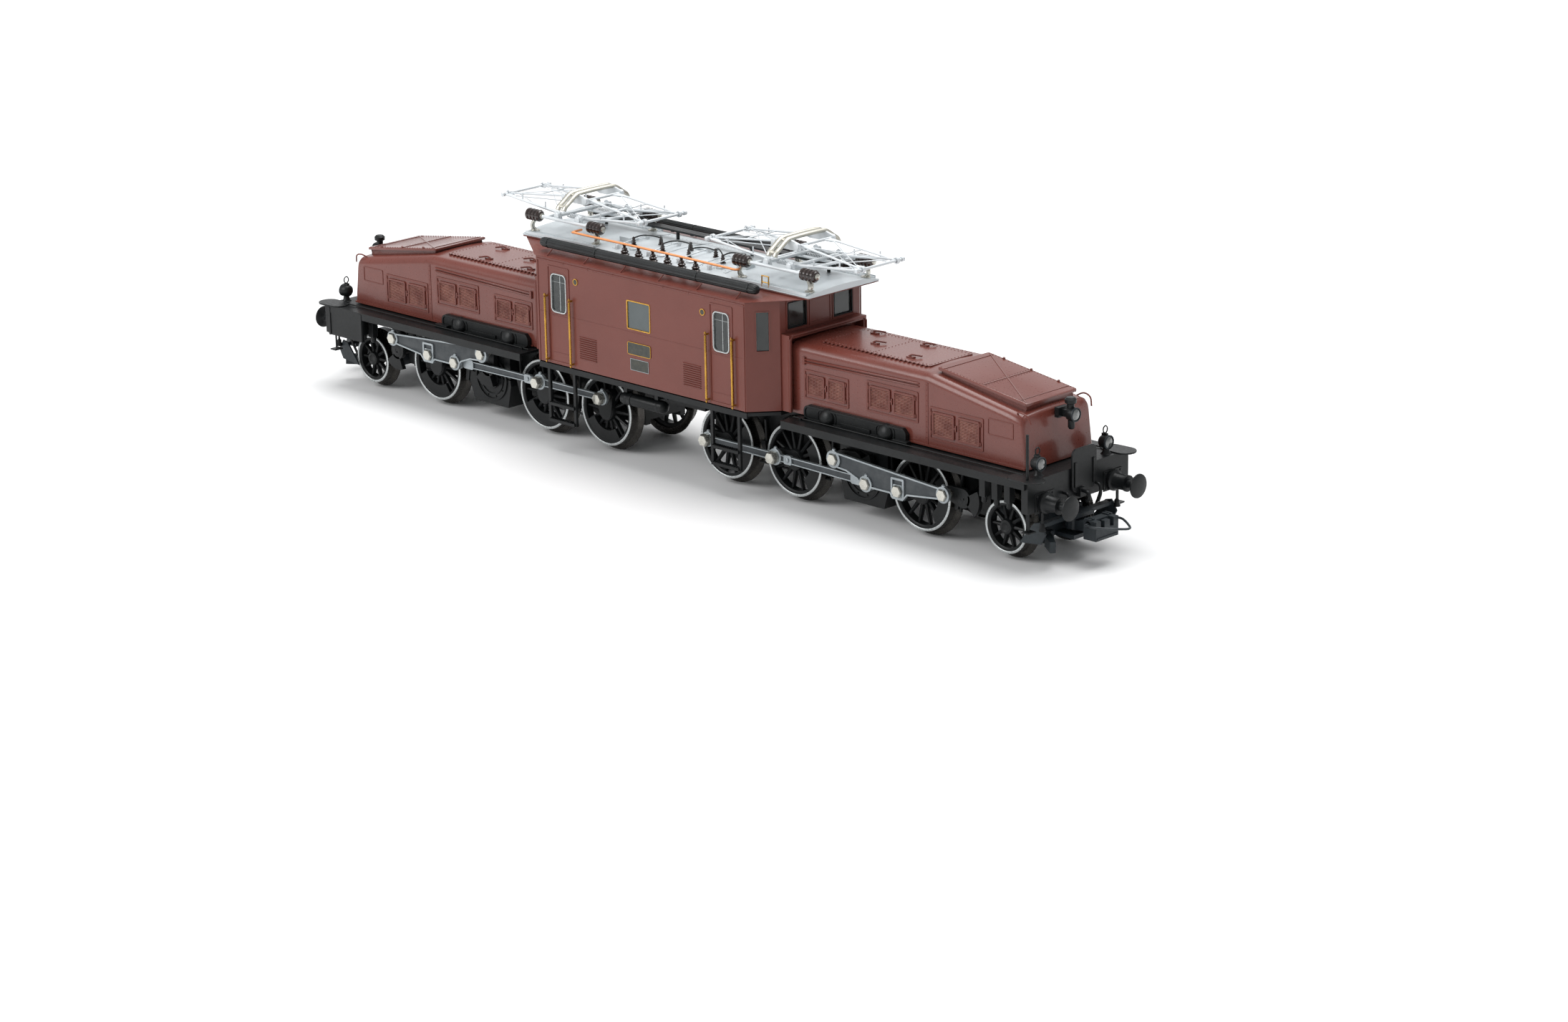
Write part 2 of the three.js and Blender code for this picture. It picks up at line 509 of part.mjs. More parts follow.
function bogieFrame() {
  const plates = [sidePlate([4.4, 5.8]), sidePlate([-5.8, -4.4])];
  const stretcher = (x, z) => box(x, [-5, 5], z);
  const stretchers = [stretcher([10.5, 13], [6, 16]), stretcher([30.3, 35.4], [9, 16.2]), stretcher([44, 48], [6, 17]),
    stretcher([65, 69], [6, 17]), stretcher([78.4, 81.6], [7.9, 17])];
  const bearing = box([49.5, 62.5], [-9, 9], [8.6, FOOTPLATE.z[0] + 0.1]);
  const ballast = plateXZ(outline([[42, 17.2], [91, 17.2], [91, 26.3], [74, 30.6], [42, 30.6]]), [-8.3, 8.3]);
  const plan = outline([[FOOTPLATE.x[0], -FOOTPLATE.y], [FOOTPLATE.x[1], -FOOTPLATE.y],
    [FOOTPLATE.x[1], FOOTPLATE.y], [FOOTPLATE.x[0], FOOTPLATE.y]]);
  const plate = slabXY(plan, FOOTPLATE.z);
  const valances = boxPair(FOOTPLATE.x, [FOOTPLATE.y - 0.6, FOOTPLATE.y], [15.9, FOOTPLATE.z[0] + 0.1]);
  const beam = box(BEAM.x, [-BEAM.y, BEAM.y], [BEAM.low, FOOTPLATE.z[1]]);
  const [tankStart, tankEnd] = TANK.x;
  const tankFace = outline([[tankStart, 17.3], [tankEnd, 17.3], [tankEnd, TANK.top - TANK.corner],
    [tankEnd - TANK.corner, TANK.top], [tankStart + TANK.corner, TANK.top], [tankStart, TANK.top - TANK.corner]]);
  const tanks = [plateXZ(tankFace, TANK.y), plateXZ(tankFace, [-TANK.y[1], -TANK.y[0]])];
  const swivel = bar([SWIVEL_X, 0, 5], [SWIVEL_X, 0, 18], AXLE_R + GAP);
  const ponyPin = bar([PONY_PIVOT_X, 0, 4], [PONY_PIVOT_X, 0, 8], 1);
  const axles = DRIVER_X.map((x) => barY(x, DRIVER_R, -20, 20, AXLE_R + GAP));
  const shafts = [barY(JACK.x, JACK.z, -20, 20, AXLE_R + GAP), barY(IDLER.x, IDLER.z, -20, 20, 1.2 + GAP)];
  const body = join(plates, stretchers, bearing, ballast, plate, valances, beam, tanks);
  return join(cut(body, swivel, axles, shafts), ponyPin);
}

function gearbox() {
  return plateXZ(outline([[50.5, 2], [61.4, 2], [63, 7], [62.6, 8.6 - GAP], [49.6, 8.6 - GAP], [49.4, 7]]), [-9, 9]);
}

// Pony truck: pivot eye, arm, axle cheeks, coupler pocket and guard irons.
function ponyFrame() {
  const eye = cut(bar([PONY_PIVOT_X, 0, 4.2], [PONY_PIVOT_X, 0, 7], 2.6, 16),
    bar([PONY_PIVOT_X, 0, 3], [PONY_PIVOT_X, 0, 9], 1 + GAP));
  const arm = box([PONY_PIVOT_X + 2.2, 92], [-2, 2], [4.2, 7]);
  const cheeks = boxPair([90.5, 99], [4, 5.2], [3.6, 7.3]);
  const ties = [box([90.5, 92], [-5, 5], [3.6, 7.3]), box([97.4, 101.2], [-5, 5], [3.6, 8.4])];
  const axle = barY(PONY_X, PONY_R, -10, 10, 1 + GAP);
  const pocket = [[3.6, 4.4], [7.6, 8.4]].map((z) => box([101, 106], [-3, 3], z));
  const pin = bar([COUPLER_PIVOT_X, 0, 4], [COUPLER_PIVOT_X, 0, 8], 0.8, 12);
  const guards = [-1, 1].map((side) => {
    const plan = outline([[101.6, 4.4 * side], [106, 8.4 * side], [105.2, 9.2 * side], [101.6, 6.6 * side]]);
    return join(slabXY(plan, [2.2, 4.4]), box([97.8, 102], sided(side, [4.2, 5.2]), [2.2, 5]));
  });
  return join(cut(join(arm, cheeks, ties), axle), eye, pocket, pin, guards);
}

function coupler() {
  const z = 6;
  const eye = bar([COUPLER_PIVOT_X, 0, z - 1], [COUPLER_PIVOT_X, 0, z + 1], 1.9, 14);
  const shank = box([COUPLER_PIVOT_X, 109.5], [-1.4, 1.4], [z - 0.9, z + 0.9]);
  const head = box([108.6, 111.8], [-3.3, 3.3], [4.4, 8.3]);
  const notch = box([110.5, 113], [-1.9, 1.9], [6.6, 9]);
  const hook = box([110.8, 111.8], [-0.8, 0.8], [6, 8.1]);
  const bore = bar([COUPLER_PIVOT_X, 0, 4], [COUPLER_PIVOT_X, 0, 8], 0.8 + GAP, 12);
  const loopBore = barY(109.7, 7.5, -4, 4, 0.4 + GAP, 8);
  return cut(join(cut(join(eye, shank, head), notch), hook), bore, loopBore);
}

// Wire loop hinged through the coupler head.
function couplerLoop() {
  const z = 7.5;
  const bow = wire([[109.7, -3.9, z], [111.2, -4.4, z], [114.5, -4.2, z], [116.9, -2.2, z], [LOOP_TIP - 0.35, 0, z],
    [116.9, 2.2, z], [114.5, 4.2, z], [111.2, 4.4, z], [109.7, 3.9, z]], 0.35, 14, false, 5);
  return join(bow, barY(109.7, z, -4.2, 4.2, 0.38, 6));
}

function buffer(side) {
  const { y, z, face, headR } = BUFFER;
  const start = BEAM.x[1] + GAP;
  const along = (x0, x1, r, sides) => bar([x0, side * y, z], [x1, side * y, z], r, sides);
  return join(along(start, start + 0.8, 2.1, 10), along(start, face - 1, 1.25, 10), along(face - 1.1, face, headR, 16));
}

function bogie(label) {
  const end = label === "a" ? 1 : -1;
  const sideName = (side) => (side * end < 0 ? "right" : "left");
  const group = new THREE.Group();
  group.rotation.z = end > 0 ? 0 : Math.PI;
  const heads = [TRIANGLE_ROD_Y[1] + 0.1, COUPLING_ROD_Y[1] + 0.1, COUPLING_ROD_Y[1] + 0.1];
  DRIVER_X.forEach((x, i) => group.add(
    part(`driving_wheelset_${i + 1}_${label}`, PAINT.black, drivingWheelset(label, heads[i]), [x, 0, DRIVER_R])));
  group.add(
    part(`bogie_frame_${label}`, PAINT.black, bogieFrame()),
    part(`hood_${label}`, PAINT.brown, hood()),
    part(`gearbox_cover_${label}`, PAINT.black, gearbox()),
    part(`pony_wheelset_${label}`, PAINT.black, wheelPair(PONY_R, 1.6, 10.2, 1), [PONY_X, 0, PONY_R]),
    part(`pony_frame_${label}`, PAINT.black, ponyFrame()),
    part(`jackshaft_${label}`, PAINT.steel, crankedShaft(label, AXLE_R, [9.5, 10.8], 2.2, 4.6), [JACK.x, 0, JACK.z]),
    part(`idler_shaft_${label}`, PAINT.black, crankedShaft(label, 1.2, [10.3, 11.3], 2, 4.4), [IDLER.x, 0, IDLER.z]),
    part(`coupler_head_${label}`, PAINT.black, coupler()),
    part(`coupler_loop_${label}`, PAINT.steel, couplerLoop()),
  );
  [-1, 1].forEach((side) => group.add(
    part(`triangle_rod_${sideName(side)}_${label}`, PAINT.steel, triangleRod(label, side)),
    part(`coupling_rod_${sideName(side)}_${label}`, PAINT.steel, couplingRod(label, side)),
    part(`buffer_${sideName(side)}_${label}`, PAINT.black, buffer(side)),
  ));
  return group;
}

// ---------------------------------------------------------------- assembly
const locomotive = new THREE.Group();
locomotive.name = "electric_locomotive";
locomotive.position.z = FLANGE;
locomotive.add(
  part("cab_shell", PAINT.brown, cabShell()),
  part("cab_glazing", PAINT.glass, cabGlazing()),
  part("cab_roof", PAINT.silver, cabRoof()),
  part("underframe", PAINT.black, underframe()),
  part("air_reservoir", PAINT.black, bar([RESERVOIR.x[0], RESERVOIR.y, RESERVOIR.z],
    [RESERVOIR.x[1], RESERVOIR.y, RESERVOIR.z], RESERVOIR.r, 14)),
  part("motor", PAINT.steel, motor()),
  part("motor_rotor", PAINT.brass, motorRotor()),
  part("circuit_board", PAINT.board, box([-24, 24], [-11, 11], [36.6, 37.6])),
  part("oil_cooler_left", PAINT.cooler, cooler(1)),
  part("oil_cooler_right", PAINT.cooler, cooler(-1)),
  part("roof_walkway", PAINT.cooler, roofWalkway()),
  part("busbar", PAINT.orange, busbar()),
);
[["a", 1], ["b", -1]].forEach(([label, end]) => {
  const frame = pantograph(label);
  frame.position.x = end * PANTO_X;
  locomotive.add(frame, bogie(label));
});

export default locomotive;
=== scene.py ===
"""The looks of an H0 articulated electric locomotive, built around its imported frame.

Lengths inside the classes are millimetres, with heights counted from the rail top, as a
model maker would measure them; Shell points become metres of the row frame in build_piece.
A bogie is drawn at end A and given a half turn about Z for end B.
"""

import json
import logging
import math
from dataclasses import dataclass
from enum import Enum
from typing import Iterable, Sequence

import bmesh
import bpy
import numpy as np
from mathutils import Matrix, Vector


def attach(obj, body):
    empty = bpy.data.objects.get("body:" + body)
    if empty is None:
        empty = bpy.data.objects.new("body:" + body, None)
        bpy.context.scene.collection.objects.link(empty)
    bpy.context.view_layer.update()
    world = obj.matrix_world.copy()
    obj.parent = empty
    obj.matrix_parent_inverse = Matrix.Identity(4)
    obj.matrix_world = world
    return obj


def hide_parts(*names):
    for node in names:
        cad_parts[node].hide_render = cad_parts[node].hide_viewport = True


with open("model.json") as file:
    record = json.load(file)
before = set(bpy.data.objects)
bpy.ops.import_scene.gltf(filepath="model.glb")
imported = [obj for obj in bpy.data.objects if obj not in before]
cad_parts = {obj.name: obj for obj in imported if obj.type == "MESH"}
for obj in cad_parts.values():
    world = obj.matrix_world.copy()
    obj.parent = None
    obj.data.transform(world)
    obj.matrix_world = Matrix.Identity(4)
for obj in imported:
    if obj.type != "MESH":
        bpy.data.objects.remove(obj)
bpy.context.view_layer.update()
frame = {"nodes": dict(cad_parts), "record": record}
log = logging.getLogger("locomotive")

MM = 0.001
FLANGE = 1.2  # depth of the wheel flanges, so the height of the rail top in the frame
SHARP_DEGREES = 38.0  # steeper turns between faces are shaded as edges
BEVEL_DEGREES = 35.0  # steeper turns between faces are bevelled
CAD_EDGE = 0.12  # bevel of the CAD solids that still show
FULL_TURN = 2.0 * math.pi
TO_X, TO_Y, TO_Z = (1, 0, 0), (0, 1, 0), (0, 0, 1)
Points = np.ndarray


# ---------------------------------------------------------------- shapes
class Axis(Enum):
    """Where an outline's u and v, and the way it is drawn out, stand in (x, y, z)."""

    X = (1, 2, 0)
    Y = (0, 2, 1)
    Z = (0, 1, 2)


@dataclass
class Shell:
    """A closed surface: its points in millimetres and its faces."""

    points: Points
    faces: list[tuple[int, ...]]

    def moved(self, x: float = 0.0, y: float = 0.0, z: float = 0.0) -> "Shell":
        """A copy shifted by (x, y, z)."""
        return Shell(self.points + (x, y, z), self.faces)

    def scaled(self, x: float, y: float, z: float) -> "Shell":
        """A copy with each coordinate multiplied; normals are made again in build_piece."""
        return Shell(self.points * (x, y, z), self.faces)


def unit(vector: Sequence[float]) -> Points:
    """The vector divided by its length."""
    v = np.asarray(vector, float)
    return v / np.linalg.norm(v)


def skin(rings: Points, closed: bool = False) -> Shell:
    """Joins ring i to ring i + 1 by four-sided faces, point j to point j + 1 and round.

    Args:
        rings: array (rings, points, 3).
        closed: joins the last ring to the first; otherwise both ends get a flat cap.

    Returns:
        The closed surface.
    """
    count, size = rings.shape[:2]
    index = np.arange(count * size).reshape(count, size)
    after = np.roll(index, -1, axis=1)
    if closed:
        corners = (index, after, np.roll(after, -1, axis=0), np.roll(index, -1, axis=0))
    else:
        corners = (index[:-1], after[:-1], after[1:], index[1:])
    faces = [tuple(f) for f in np.stack(corners, -1).reshape(-1, 4).tolist()]
    if not closed:
        faces += [tuple(index[0][::-1].tolist()), tuple(index[-1].tolist())]
    return Shell(rings.reshape(-1, 3), faces)


def lathe(profile: Sequence[Sequence[float]], origin: Sequence[float], axis: Sequence[float],
          sides: int = 24, closed: bool = False) -> Shell:
    """Turns a profile: origin + height * axis + radius * (cos t * u + sin t * v).

    Args:
        profile: rows of (radius, height).
        origin: where height is zero.
        axis: direction of the height.
        sides: how many steps t takes round the circle.
        closed: True for a ring, whose profile joins its own start.

    Returns:
        The turned surface.
    """
    w = unit(axis)
    u = unit(np.cross(w, (0.0, 0.0, 1.0) if abs(w[2]) < 0.9 else (0.0, 1.0, 0.0)))
    v = np.cross(w, u)
    t = np.linspace(0.0, FULL_TURN, sides, endpoint=False)[None, :, None]
    radius, height = (np.asarray(profile, float)[:, i][:, None, None] for i in (0, 1))
    rings = np.asarray(origin, float) + height * w + radius * (np.cos(t) * u + np.sin(t) * v)
    return skin(rings, closed)


def curve(points: Sequence[Sequence[float]], steps: int = 6) -> Points:
    """A smooth line through points: on each span the cubic that leaves and arrives along
    the chord between its neighbours (Catmull-Rom), sampled `steps` times."""
    p = np.asarray(points, float)
    padded = np.vstack([2 * p[0] - p[1], p, 2 * p[-1] - p[-2]])
    a, b, c, d = padded[:-3], padded[1:-2], padded[2:-1], padded[3:]
    t = np.linspace(0.0, 1.0, steps, endpoint=False)[None, :, None]
    a, b, c, d = (q[:, None, :] for q in (a, b, c, d))
    spans = 0.5 * (2 * b + (c - a) * t + (2 * a - 5 * b + 4 * c - d) * t**2
                   + (3 * b - a - 3 * c + d) * t**3)
    return np.vstack([spans.reshape(-1, 3), p[-1]])


def tube(path: Sequence[Sequence[float]], radius: float | Points, sides: int = 10,
         closed: bool = False, flat: float = 1.0) -> Shell:
    """A round or flattened section carried along a path.

    Each ring is p + radius * (cos t * side + flat * sin t * up), where up is the normal of
    the path's own plane and side is square to it and to the tangent.

    Args:
        path: the centre line.
        radius: one radius, or one for each point of the path.
        sides: points round the section.
        closed: joins the end of the path to its start.
        flat: the section's height over its width.

    Returns:
        The tube's surface.
    """
    p = np.asarray(path, float)
    along = np.roll(p, -1, 0) - np.roll(p, 1, 0) if closed else np.gradient(p, axis=0)
    along /= np.linalg.norm(along, axis=1, keepdims=True)
    plane = np.linalg.svd(p - p.mean(0))[2][-1]
    side = np.cross(along, plane)
    side /= np.linalg.norm(side, axis=1, keepdims=True)
    up = np.cross(side, along)
    t = np.linspace(0.0, FULL_TURN, sides, endpoint=False)[None, :, None]
    r = np.broadcast_to(np.asarray(radius, float), (len(p),))[:, None, None]
    return skin(p[:, None] + r * (np.cos(t) * side[:, None] + flat * np.sin(t) * up[:, None]),
                closed)


def drawn(outline: Points, low: float, high: float, axis: Axis) -> Points:
    """The outline's two copies, at low and high along the axis, as rings."""
    flat = np.asarray(outline, float)
    rings = np.empty((2, len(flat), 3))
    u, v, along = axis.value
    rings[:, :, u], rings[:, :, v] = flat.T
    rings[:, :, along] = np.array([[low], [high]])
    return rings


def prism(outline: Sequence[Sequence[float]], low: float, high: float, axis: Axis) -> Shell:
    """An outline drawn out between two values along an axis."""
    return skin(drawn(np.asarray(outline, float), low, high, axis))


def border(outer: Points, inner: Points, low: float, high: float, axis: Axis) -> Shell:
    """A closed frame between two outlines of equal point count, from low to high."""
    out, inn = drawn(outer, low, high, axis), drawn(inner, low, high, axis)
    return skin(np.stack([out[0], out[1], inn[1], inn[0]]), closed=True)


def block(x: Sequence[float], y: Sequence[float], z: Sequence[float]) -> Shell:
    """A bar between two values on each axis."""
    return prism([(x[0], y[0]), (x[1], y[0]), (x[1], y[1]), (x[0], y[1])], z[0], z[1], Axis.Z)


def rounded(u: float, v: float, width: float, height: float, radius: float,
            steps: int = 5) -> Points:
    """A rectangle about (u, v) whose corners are quarter circles."""
    corner = np.array([(1, 1), (-1, 1), (-1, -1), (1, -1)], float)
    centre = corner * (width / 2 - radius, height / 2 - radius)
    start = np.arange(4)[:, None] * math.pi / 2
    t = start + np.linspace(0.0, math.pi / 2, steps)[None, :]
    arc = radius * np.stack([np.cos(t), np.sin(t)], -1)
    return (centre[:, None] + arc).reshape(-1, 2) + (u, v)


def inset(outline: Points, distance: float) -> Points:
    """The outline moved inwards: each corner goes along its mitre by distance over the
    cosine of half the turn there. Works for either winding."""
    p = np.asarray(outline, float)
    before, after = p - np.roll(p, 1, 0), np.roll(p, -1, 0) - p
    before /= np.linalg.norm(before, axis=1, keepdims=True)
    after /= np.linalg.norm(after, axis=1, keepdims=True)
    n0, n1 = (np.stack([-d[:, 1], d[:, 0]], 1) for d in (before, after))
    mitre = (n0 + n1) / np.maximum(1.0 + (n0 * n1).sum(1), 0.3)[:, None]
    x, y = p.T
    wind = np.sign((x * np.roll(y, -1) - np.roll(x, -1) * y).sum())
    return p + wind * distance * mitre


def capsule(start: Sequence[float], end: Sequence[float], r0: float, r1: float,
            steps: int = 9) -> Points:
    """Outline of a bar whose ends are half circles of radius r0 and r1."""
    a, b = np.asarray(start, float), np.asarray(end, float)
    base = math.atan2(*(b - a)[::-1])
    t = np.linspace(math.pi / 2, 1.5 * math.pi, steps) + base
    arc = np.stack([np.cos(t), np.sin(t)], 1)
    return np.vstack([a + r0 * arc, b - r1 * arc])


def copies(shell: Shell, offsets: Iterable[Sequence[float]]) -> Shell:
    """One shell repeated at each offset: the points are broadcast, the faces counted on."""
    shift = np.asarray(list(offsets), float).reshape(-1, 1, 3)
    size = len(shell.points)
    faces = [tuple(i + n * size for i in face) for n in range(len(shift)) for face in shell.faces]
    return Shell((shell.points[None] + shift).reshape(-1, 3), faces)


def spun(shell: Shell, angles: Points) -> Shell:
    """Copies turned about the Y axis by each angle, from +X towards +Z."""
    c, s = np.cos(angles)[:, None], np.sin(angles)[:, None]
    x, y, z = shell.points.T
    points = np.stack([x * c - z * s, np.broadcast_to(y, (len(angles), len(y))), x * s + z * c], -1)
    size = len(shell.points)
    faces = [tuple(i + n * size for i in face) for n in range(len(angles)) for face in shell.faces]
    return Shell(points.reshape(-1, 3), faces)


def both(shells: Iterable[Shell]) -> list[Shell]:
    """The shells and their mirror images across the plane y = 0."""
    kept = list(shells)
    return kept + [s.scaled(1, -1, 1) for s in kept]


def span(sign: int, near: float, far: float) -> list[float]:
    """The limits of near to far on the side that sign gives, the lower one first."""
    return sorted((sign * near, sign * far))


def line(start: Sequence[float], end: Sequence[float], pitch: float) -> Points:
    """Evenly spaced points from start to end, about `pitch` apart."""
    a, b = np.asarray(start, float), np.asarray(end, float)
    count = max(2, int(round(np.linalg.norm(b - a) / pitch)) + 1)
    return a + (b - a) * np.linspace(0.0, 1.0, count)[:, None]


def rivet(axis: Sequence[float], radius: float = 0.13, height: float = 0.09) -> Shell:
    """A small domed head standing on the origin."""
    return lathe([(radius, -0.03), (radius, height * 0.3), (radius * 0.6, height)], (0, 0, 0), axis,
                 6)


# ---------------------------------------------------------------- finishes
class Grain(Enum):
    """How the fine relief of a surface runs: the scale of the pattern on each axis."""

    EVEN = (1.0, 1.0, 1.0)
    ALONG = (0.08, 1.0, 1.0)
    ACROSS = (1.0, 0.08, 1.0)
    UPRIGHT = (1.0, 1.0, 0.12)


@dataclass(frozen=True)
class Finish:
    """A painted, cast or bare metal surface, patterned in Object coordinates.

    Attributes:
        name: the material's name.
        slot: the record's material slot.
        colour: linear base colour.
        shade: the darker or dustier colour that drifts through it.
        roughness: lowest and highest roughness.
        metallic: 0 for paint and plastic, 1 for bare metal.
        patch: size of the colour drift in millimetres.
        grain: size of the fine relief in millimetres.
        relief: height of the fine relief in millimetres.
        run: direction of the fine relief.
        coat: clear coat weight.
        fleck: how strongly tiny pale specks of wear show.
        alpha: below one for clear plastic.
        specular: strength of the plain reflection, 0.5 for ordinary plastic.
    """

    name: str
    slot: str
    colour: tuple[float, float, float]
    shade: tuple[float, float, float]
    roughness: tuple[float, float] = (0.35, 0.5)
    metallic: float = 0.0
    patch: float = 6.0
    grain: float = 0.25
    relief: float = 0.01
    run: Grain = Grain.EVEN
    coat: float = 0.0
    fleck: float = 0.0
    alpha: float = 1.0
    specular: float = 0.5

    def make(self) -> bpy.types.Material:
        """Builds the node tree once and returns the material."""
        known = bpy.data.materials.get(self.name)
        if known:
            return known
        material = bpy.data.materials.new(self.name)
        material.use_nodes = True
        tree = material.node_tree
        new, link = tree.nodes.new, tree.links.new
        shader = tree.nodes["Principled BSDF"]
        shader.inputs["Metallic"].default_value = self.metallic
        shader.inputs["Coat Weight"].default_value = self.coat
        shader.inputs["Coat Roughness"].default_value = 0.12
        shader.inputs["Alpha"].default_value = self.alpha
        shader.inputs["Specular IOR Level"].default_value = self.specular
        place = new("ShaderNodeTexCoord").outputs["Object"]
        drift = self._noise(tree, place, self.patch, Grain.EVEN, 5.0)
        fine = self._noise(tree, place, self.grain, self.run, 3.0)
        mix = new("ShaderNodeMix")
        mix.data_type = "RGBA"
        mix.inputs["A"].default_value = (*self.colour, 1.0)
        mix.inputs["B"].default_value = (*self.shade, 1.0)
        link(self._range(tree, drift, 0.36, 0.66, 0.0, 1.0), mix.inputs["Factor"])
        colour = mix.outputs["Result"]
        if self.fleck > 0.0:
            speck = self._range(tree, self._noise(tree, place, 0.16, Grain.EVEN, 2.0), 0.66, 0.74,
                                0.0, self.fleck)
            worn = new("ShaderNodeMix")
            worn.data_type = "RGBA"
            pale = tuple(min(1.0, 1.7 * c + 0.06) for c in self.colour)
            worn.inputs["B"].default_value = (*pale, 1.0)
            link(colour, worn.inputs["A"])
            link(speck, worn.inputs["Factor"])
            colour = worn.outputs["Result"]
        link(colour, shader.inputs["Base Color"])
        link(self._range(tree, fine, 0.3, 0.7, *self.roughness), shader.inputs["Roughness"])
        bump = new("ShaderNodeBump")
        bump.inputs["Strength"].default_value = 0.6
        bump.inputs["Distance"].default_value = self.relief * MM
        link(fine, bump.inputs["Height"])
        link(bump.outputs["Normal"], shader.inputs["Normal"])
        return material

    @staticmethod
    def _noise(tree: bpy.types.NodeTree, place: bpy.types.NodeSocket, size: float, run: Grain,
               detail: float) -> bpy.types.NodeSocket:
        """Noise with features about `size` millimetres wide, stretched as `run` says."""
        mapping = tree.nodes.new("ShaderNodeMapping")
        mapping.inputs["Scale"].default_value = run.value
        noise = tree.nodes.new("ShaderNodeTexNoise")
        noise.inputs["Scale"].default_value = 1.0 / (size * MM)
        noise.inputs["Detail"].default_value = detail
        tree.links.new(place, mapping.inputs["Vector"])
        tree.links.new(mapping.outputs["Vector"], noise.inputs["Vector"])
        return noise.outputs["Fac"]

    @staticmethod
    def _range(tree: bpy.types.NodeTree, value: bpy.types.NodeSocket, low: float, high: float,
               to_low: float, to_high: float) -> bpy.types.NodeSocket:
        """The value carried from one range to another and clamped."""
        node = tree.nodes.new("ShaderNodeMapRange")
        for name, number in (("From Min", low), ("From Max", high), ("To Min", to_low),
                             ("To Max", to_high)):
            node.inputs[name].default_value = number
        tree.links.new(value, node.inputs["Value"])
        return node.outputs["Result"]


BROWN = Finish("brown_paint", "body_brown", (0.150, 0.038, 0.027), (0.138, 0.034, 0.024),
               (0.32, 0.44),
               patch=9.0, grain=0.5, relief=0.003, coat=0.12, fleck=0.05, specular=0.34)
BROWN_TOP = Finish("brown_paint_tops", "body_brown", (0.152, 0.038, 0.027), (0.138, 0.034, 0.024),
                   (0.26, 0.36),
                   patch=9.0, grain=0.5, relief=0.004, coat=0.3, fleck=0.08, specular=0.4)
# Louvre slats: a brown about twice as light as the body paint. Part of it is dust and wear on the
# slats, and part is a painted highlight for the light that the fine slats catch.
BROWN_SLAT_DUST_AND_HIGHLIGHT = Finish("brown_louvre_slats_dust_and_highlight", "body_brown", (0.30, 0.13, 0.10), (0.17, 0.055, 0.042),
                    (0.22, 0.34),
                    patch=2.2, grain=0.2, relief=0.004, coat=0.4, fleck=0.35)
BLACK = Finish("black_frame_paint", "frame_black", (0.0065, 0.0075, 0.008), (0.011, 0.012, 0.0125),
               (0.3, 0.46),
               grain=0.5, relief=0.004, fleck=0.08, specular=0.24)
WHEEL_BLACK = Finish("black_wheel_plastic", "wheel_black", (0.006, 0.0068, 0.0072),
                     (0.009, 0.010, 0.0105),
                     (0.36, 0.5), patch=3.0, grain=0.4, relief=0.003, specular=0.24)
SLATE = Finish("slate_plastic", "frame_black", (0.014, 0.019, 0.023), (0.02, 0.026, 0.03),
               (0.42, 0.58),
               grain=0.5, relief=0.004, specular=0.35)
TYRE = Finish("tyre_steel", "wheel_black", (0.07, 0.066, 0.06), (0.045, 0.042, 0.04), (0.22, 0.36),
              0.9,
              patch=2.0, grain=0.3, relief=0.001, run=Grain.ACROSS)
RIM = Finish("rim_nickel", "rim_nickel", (0.5, 0.52, 0.52), (0.43, 0.45, 0.45), (0.24, 0.32), 0.5,
             patch=2.0, grain=0.5, relief=0.001)
NICKEL = Finish("pin_nickel", "rim_nickel", (0.56, 0.55, 0.50), (0.5, 0.49, 0.44), (0.22, 0.3), 0.8,
                patch=1.2, grain=0.5, relief=0.001)
ROD = Finish("rod_silver", "rod_steel", (0.34, 0.37, 0.385), (0.28, 0.31, 0.325), (0.26, 0.38),
             0.65,
             patch=3.0, grain=0.3, relief=0.002, run=Grain.ALONG)
ROD_WEB = Finish("rod_web_grey", "rod_steel", (0.03, 0.036, 0.041), (0.05, 0.056, 0.06),
                 (0.36, 0.5), 0.3,
                 patch=2.0, grain=0.3, relief=0.002, run=Grain.ALONG)
ROOF_SILVER = Finish("roof_silver", "roof_silver", (0.215, 0.235, 0.245), (0.17, 0.19, 0.2),
                     (0.22, 0.34), 0.4,
                     patch=5.0, grain=0.5, relief=0.005, fleck=0.12)
COOLER = Finish("cooler_dark", "roof_dark_grey", (0.009, 0.0105, 0.011), (0.016, 0.018, 0.019),
                (0.3, 0.45), 0.1,
                patch=4.0, grain=0.4, relief=0.005, run=Grain.ALONG, fleck=0.15, specular=0.35)
PANTO_SILVER = Finish("pantograph_silver", "pantograph_silver", (0.16, 0.17, 0.178),
                      (0.125, 0.135, 0.142),
                      (0.24, 0.36), 0.7, patch=2.5, grain=0.4, relief=0.001)
HEAD_NICKEL = Finish("collector_nickel", "collector_nickel", (0.17, 0.156, 0.118),
                     (0.11, 0.1, 0.075),
                     (0.22, 0.34), 0.92, patch=2.5, grain=0.4, relief=0.001)
ORANGE = Finish("busbar_orange", "busbar_orange", (0.72, 0.085, 0.015), (0.58, 0.065, 0.012),
                (0.32, 0.45),
                patch=2.0, grain=0.4, relief=0.001)
BRASS = Finish("rail_brass", "brass", (0.58, 0.32, 0.055), (0.42, 0.22, 0.04), (0.22, 0.34), 0.85,
               patch=2.0, grain=0.4, relief=0.001)
INSULATOR = Finish("insulator_glaze", "insulator_brown", (0.017, 0.009, 0.007),
                   (0.028, 0.015, 0.012),
                   (0.14, 0.24), patch=1.5, grain=0.5, relief=0.003, coat=0.5)
LENS = Finish("lamp_lens", "window_glass", (0.075, 0.08, 0.08), (0.16, 0.165, 0.16), (0.05, 0.12),
              0.2,
              patch=0.8, grain=0.5, relief=0.003, coat=1.0)
PANE = Finish("window_pane", "window_glass", (0.014, 0.018, 0.018), (0.034, 0.04, 0.039),
              (0.05, 0.1),
              patch=4.0, grain=0.8, relief=0.001, coat=0.3, alpha=0.8)
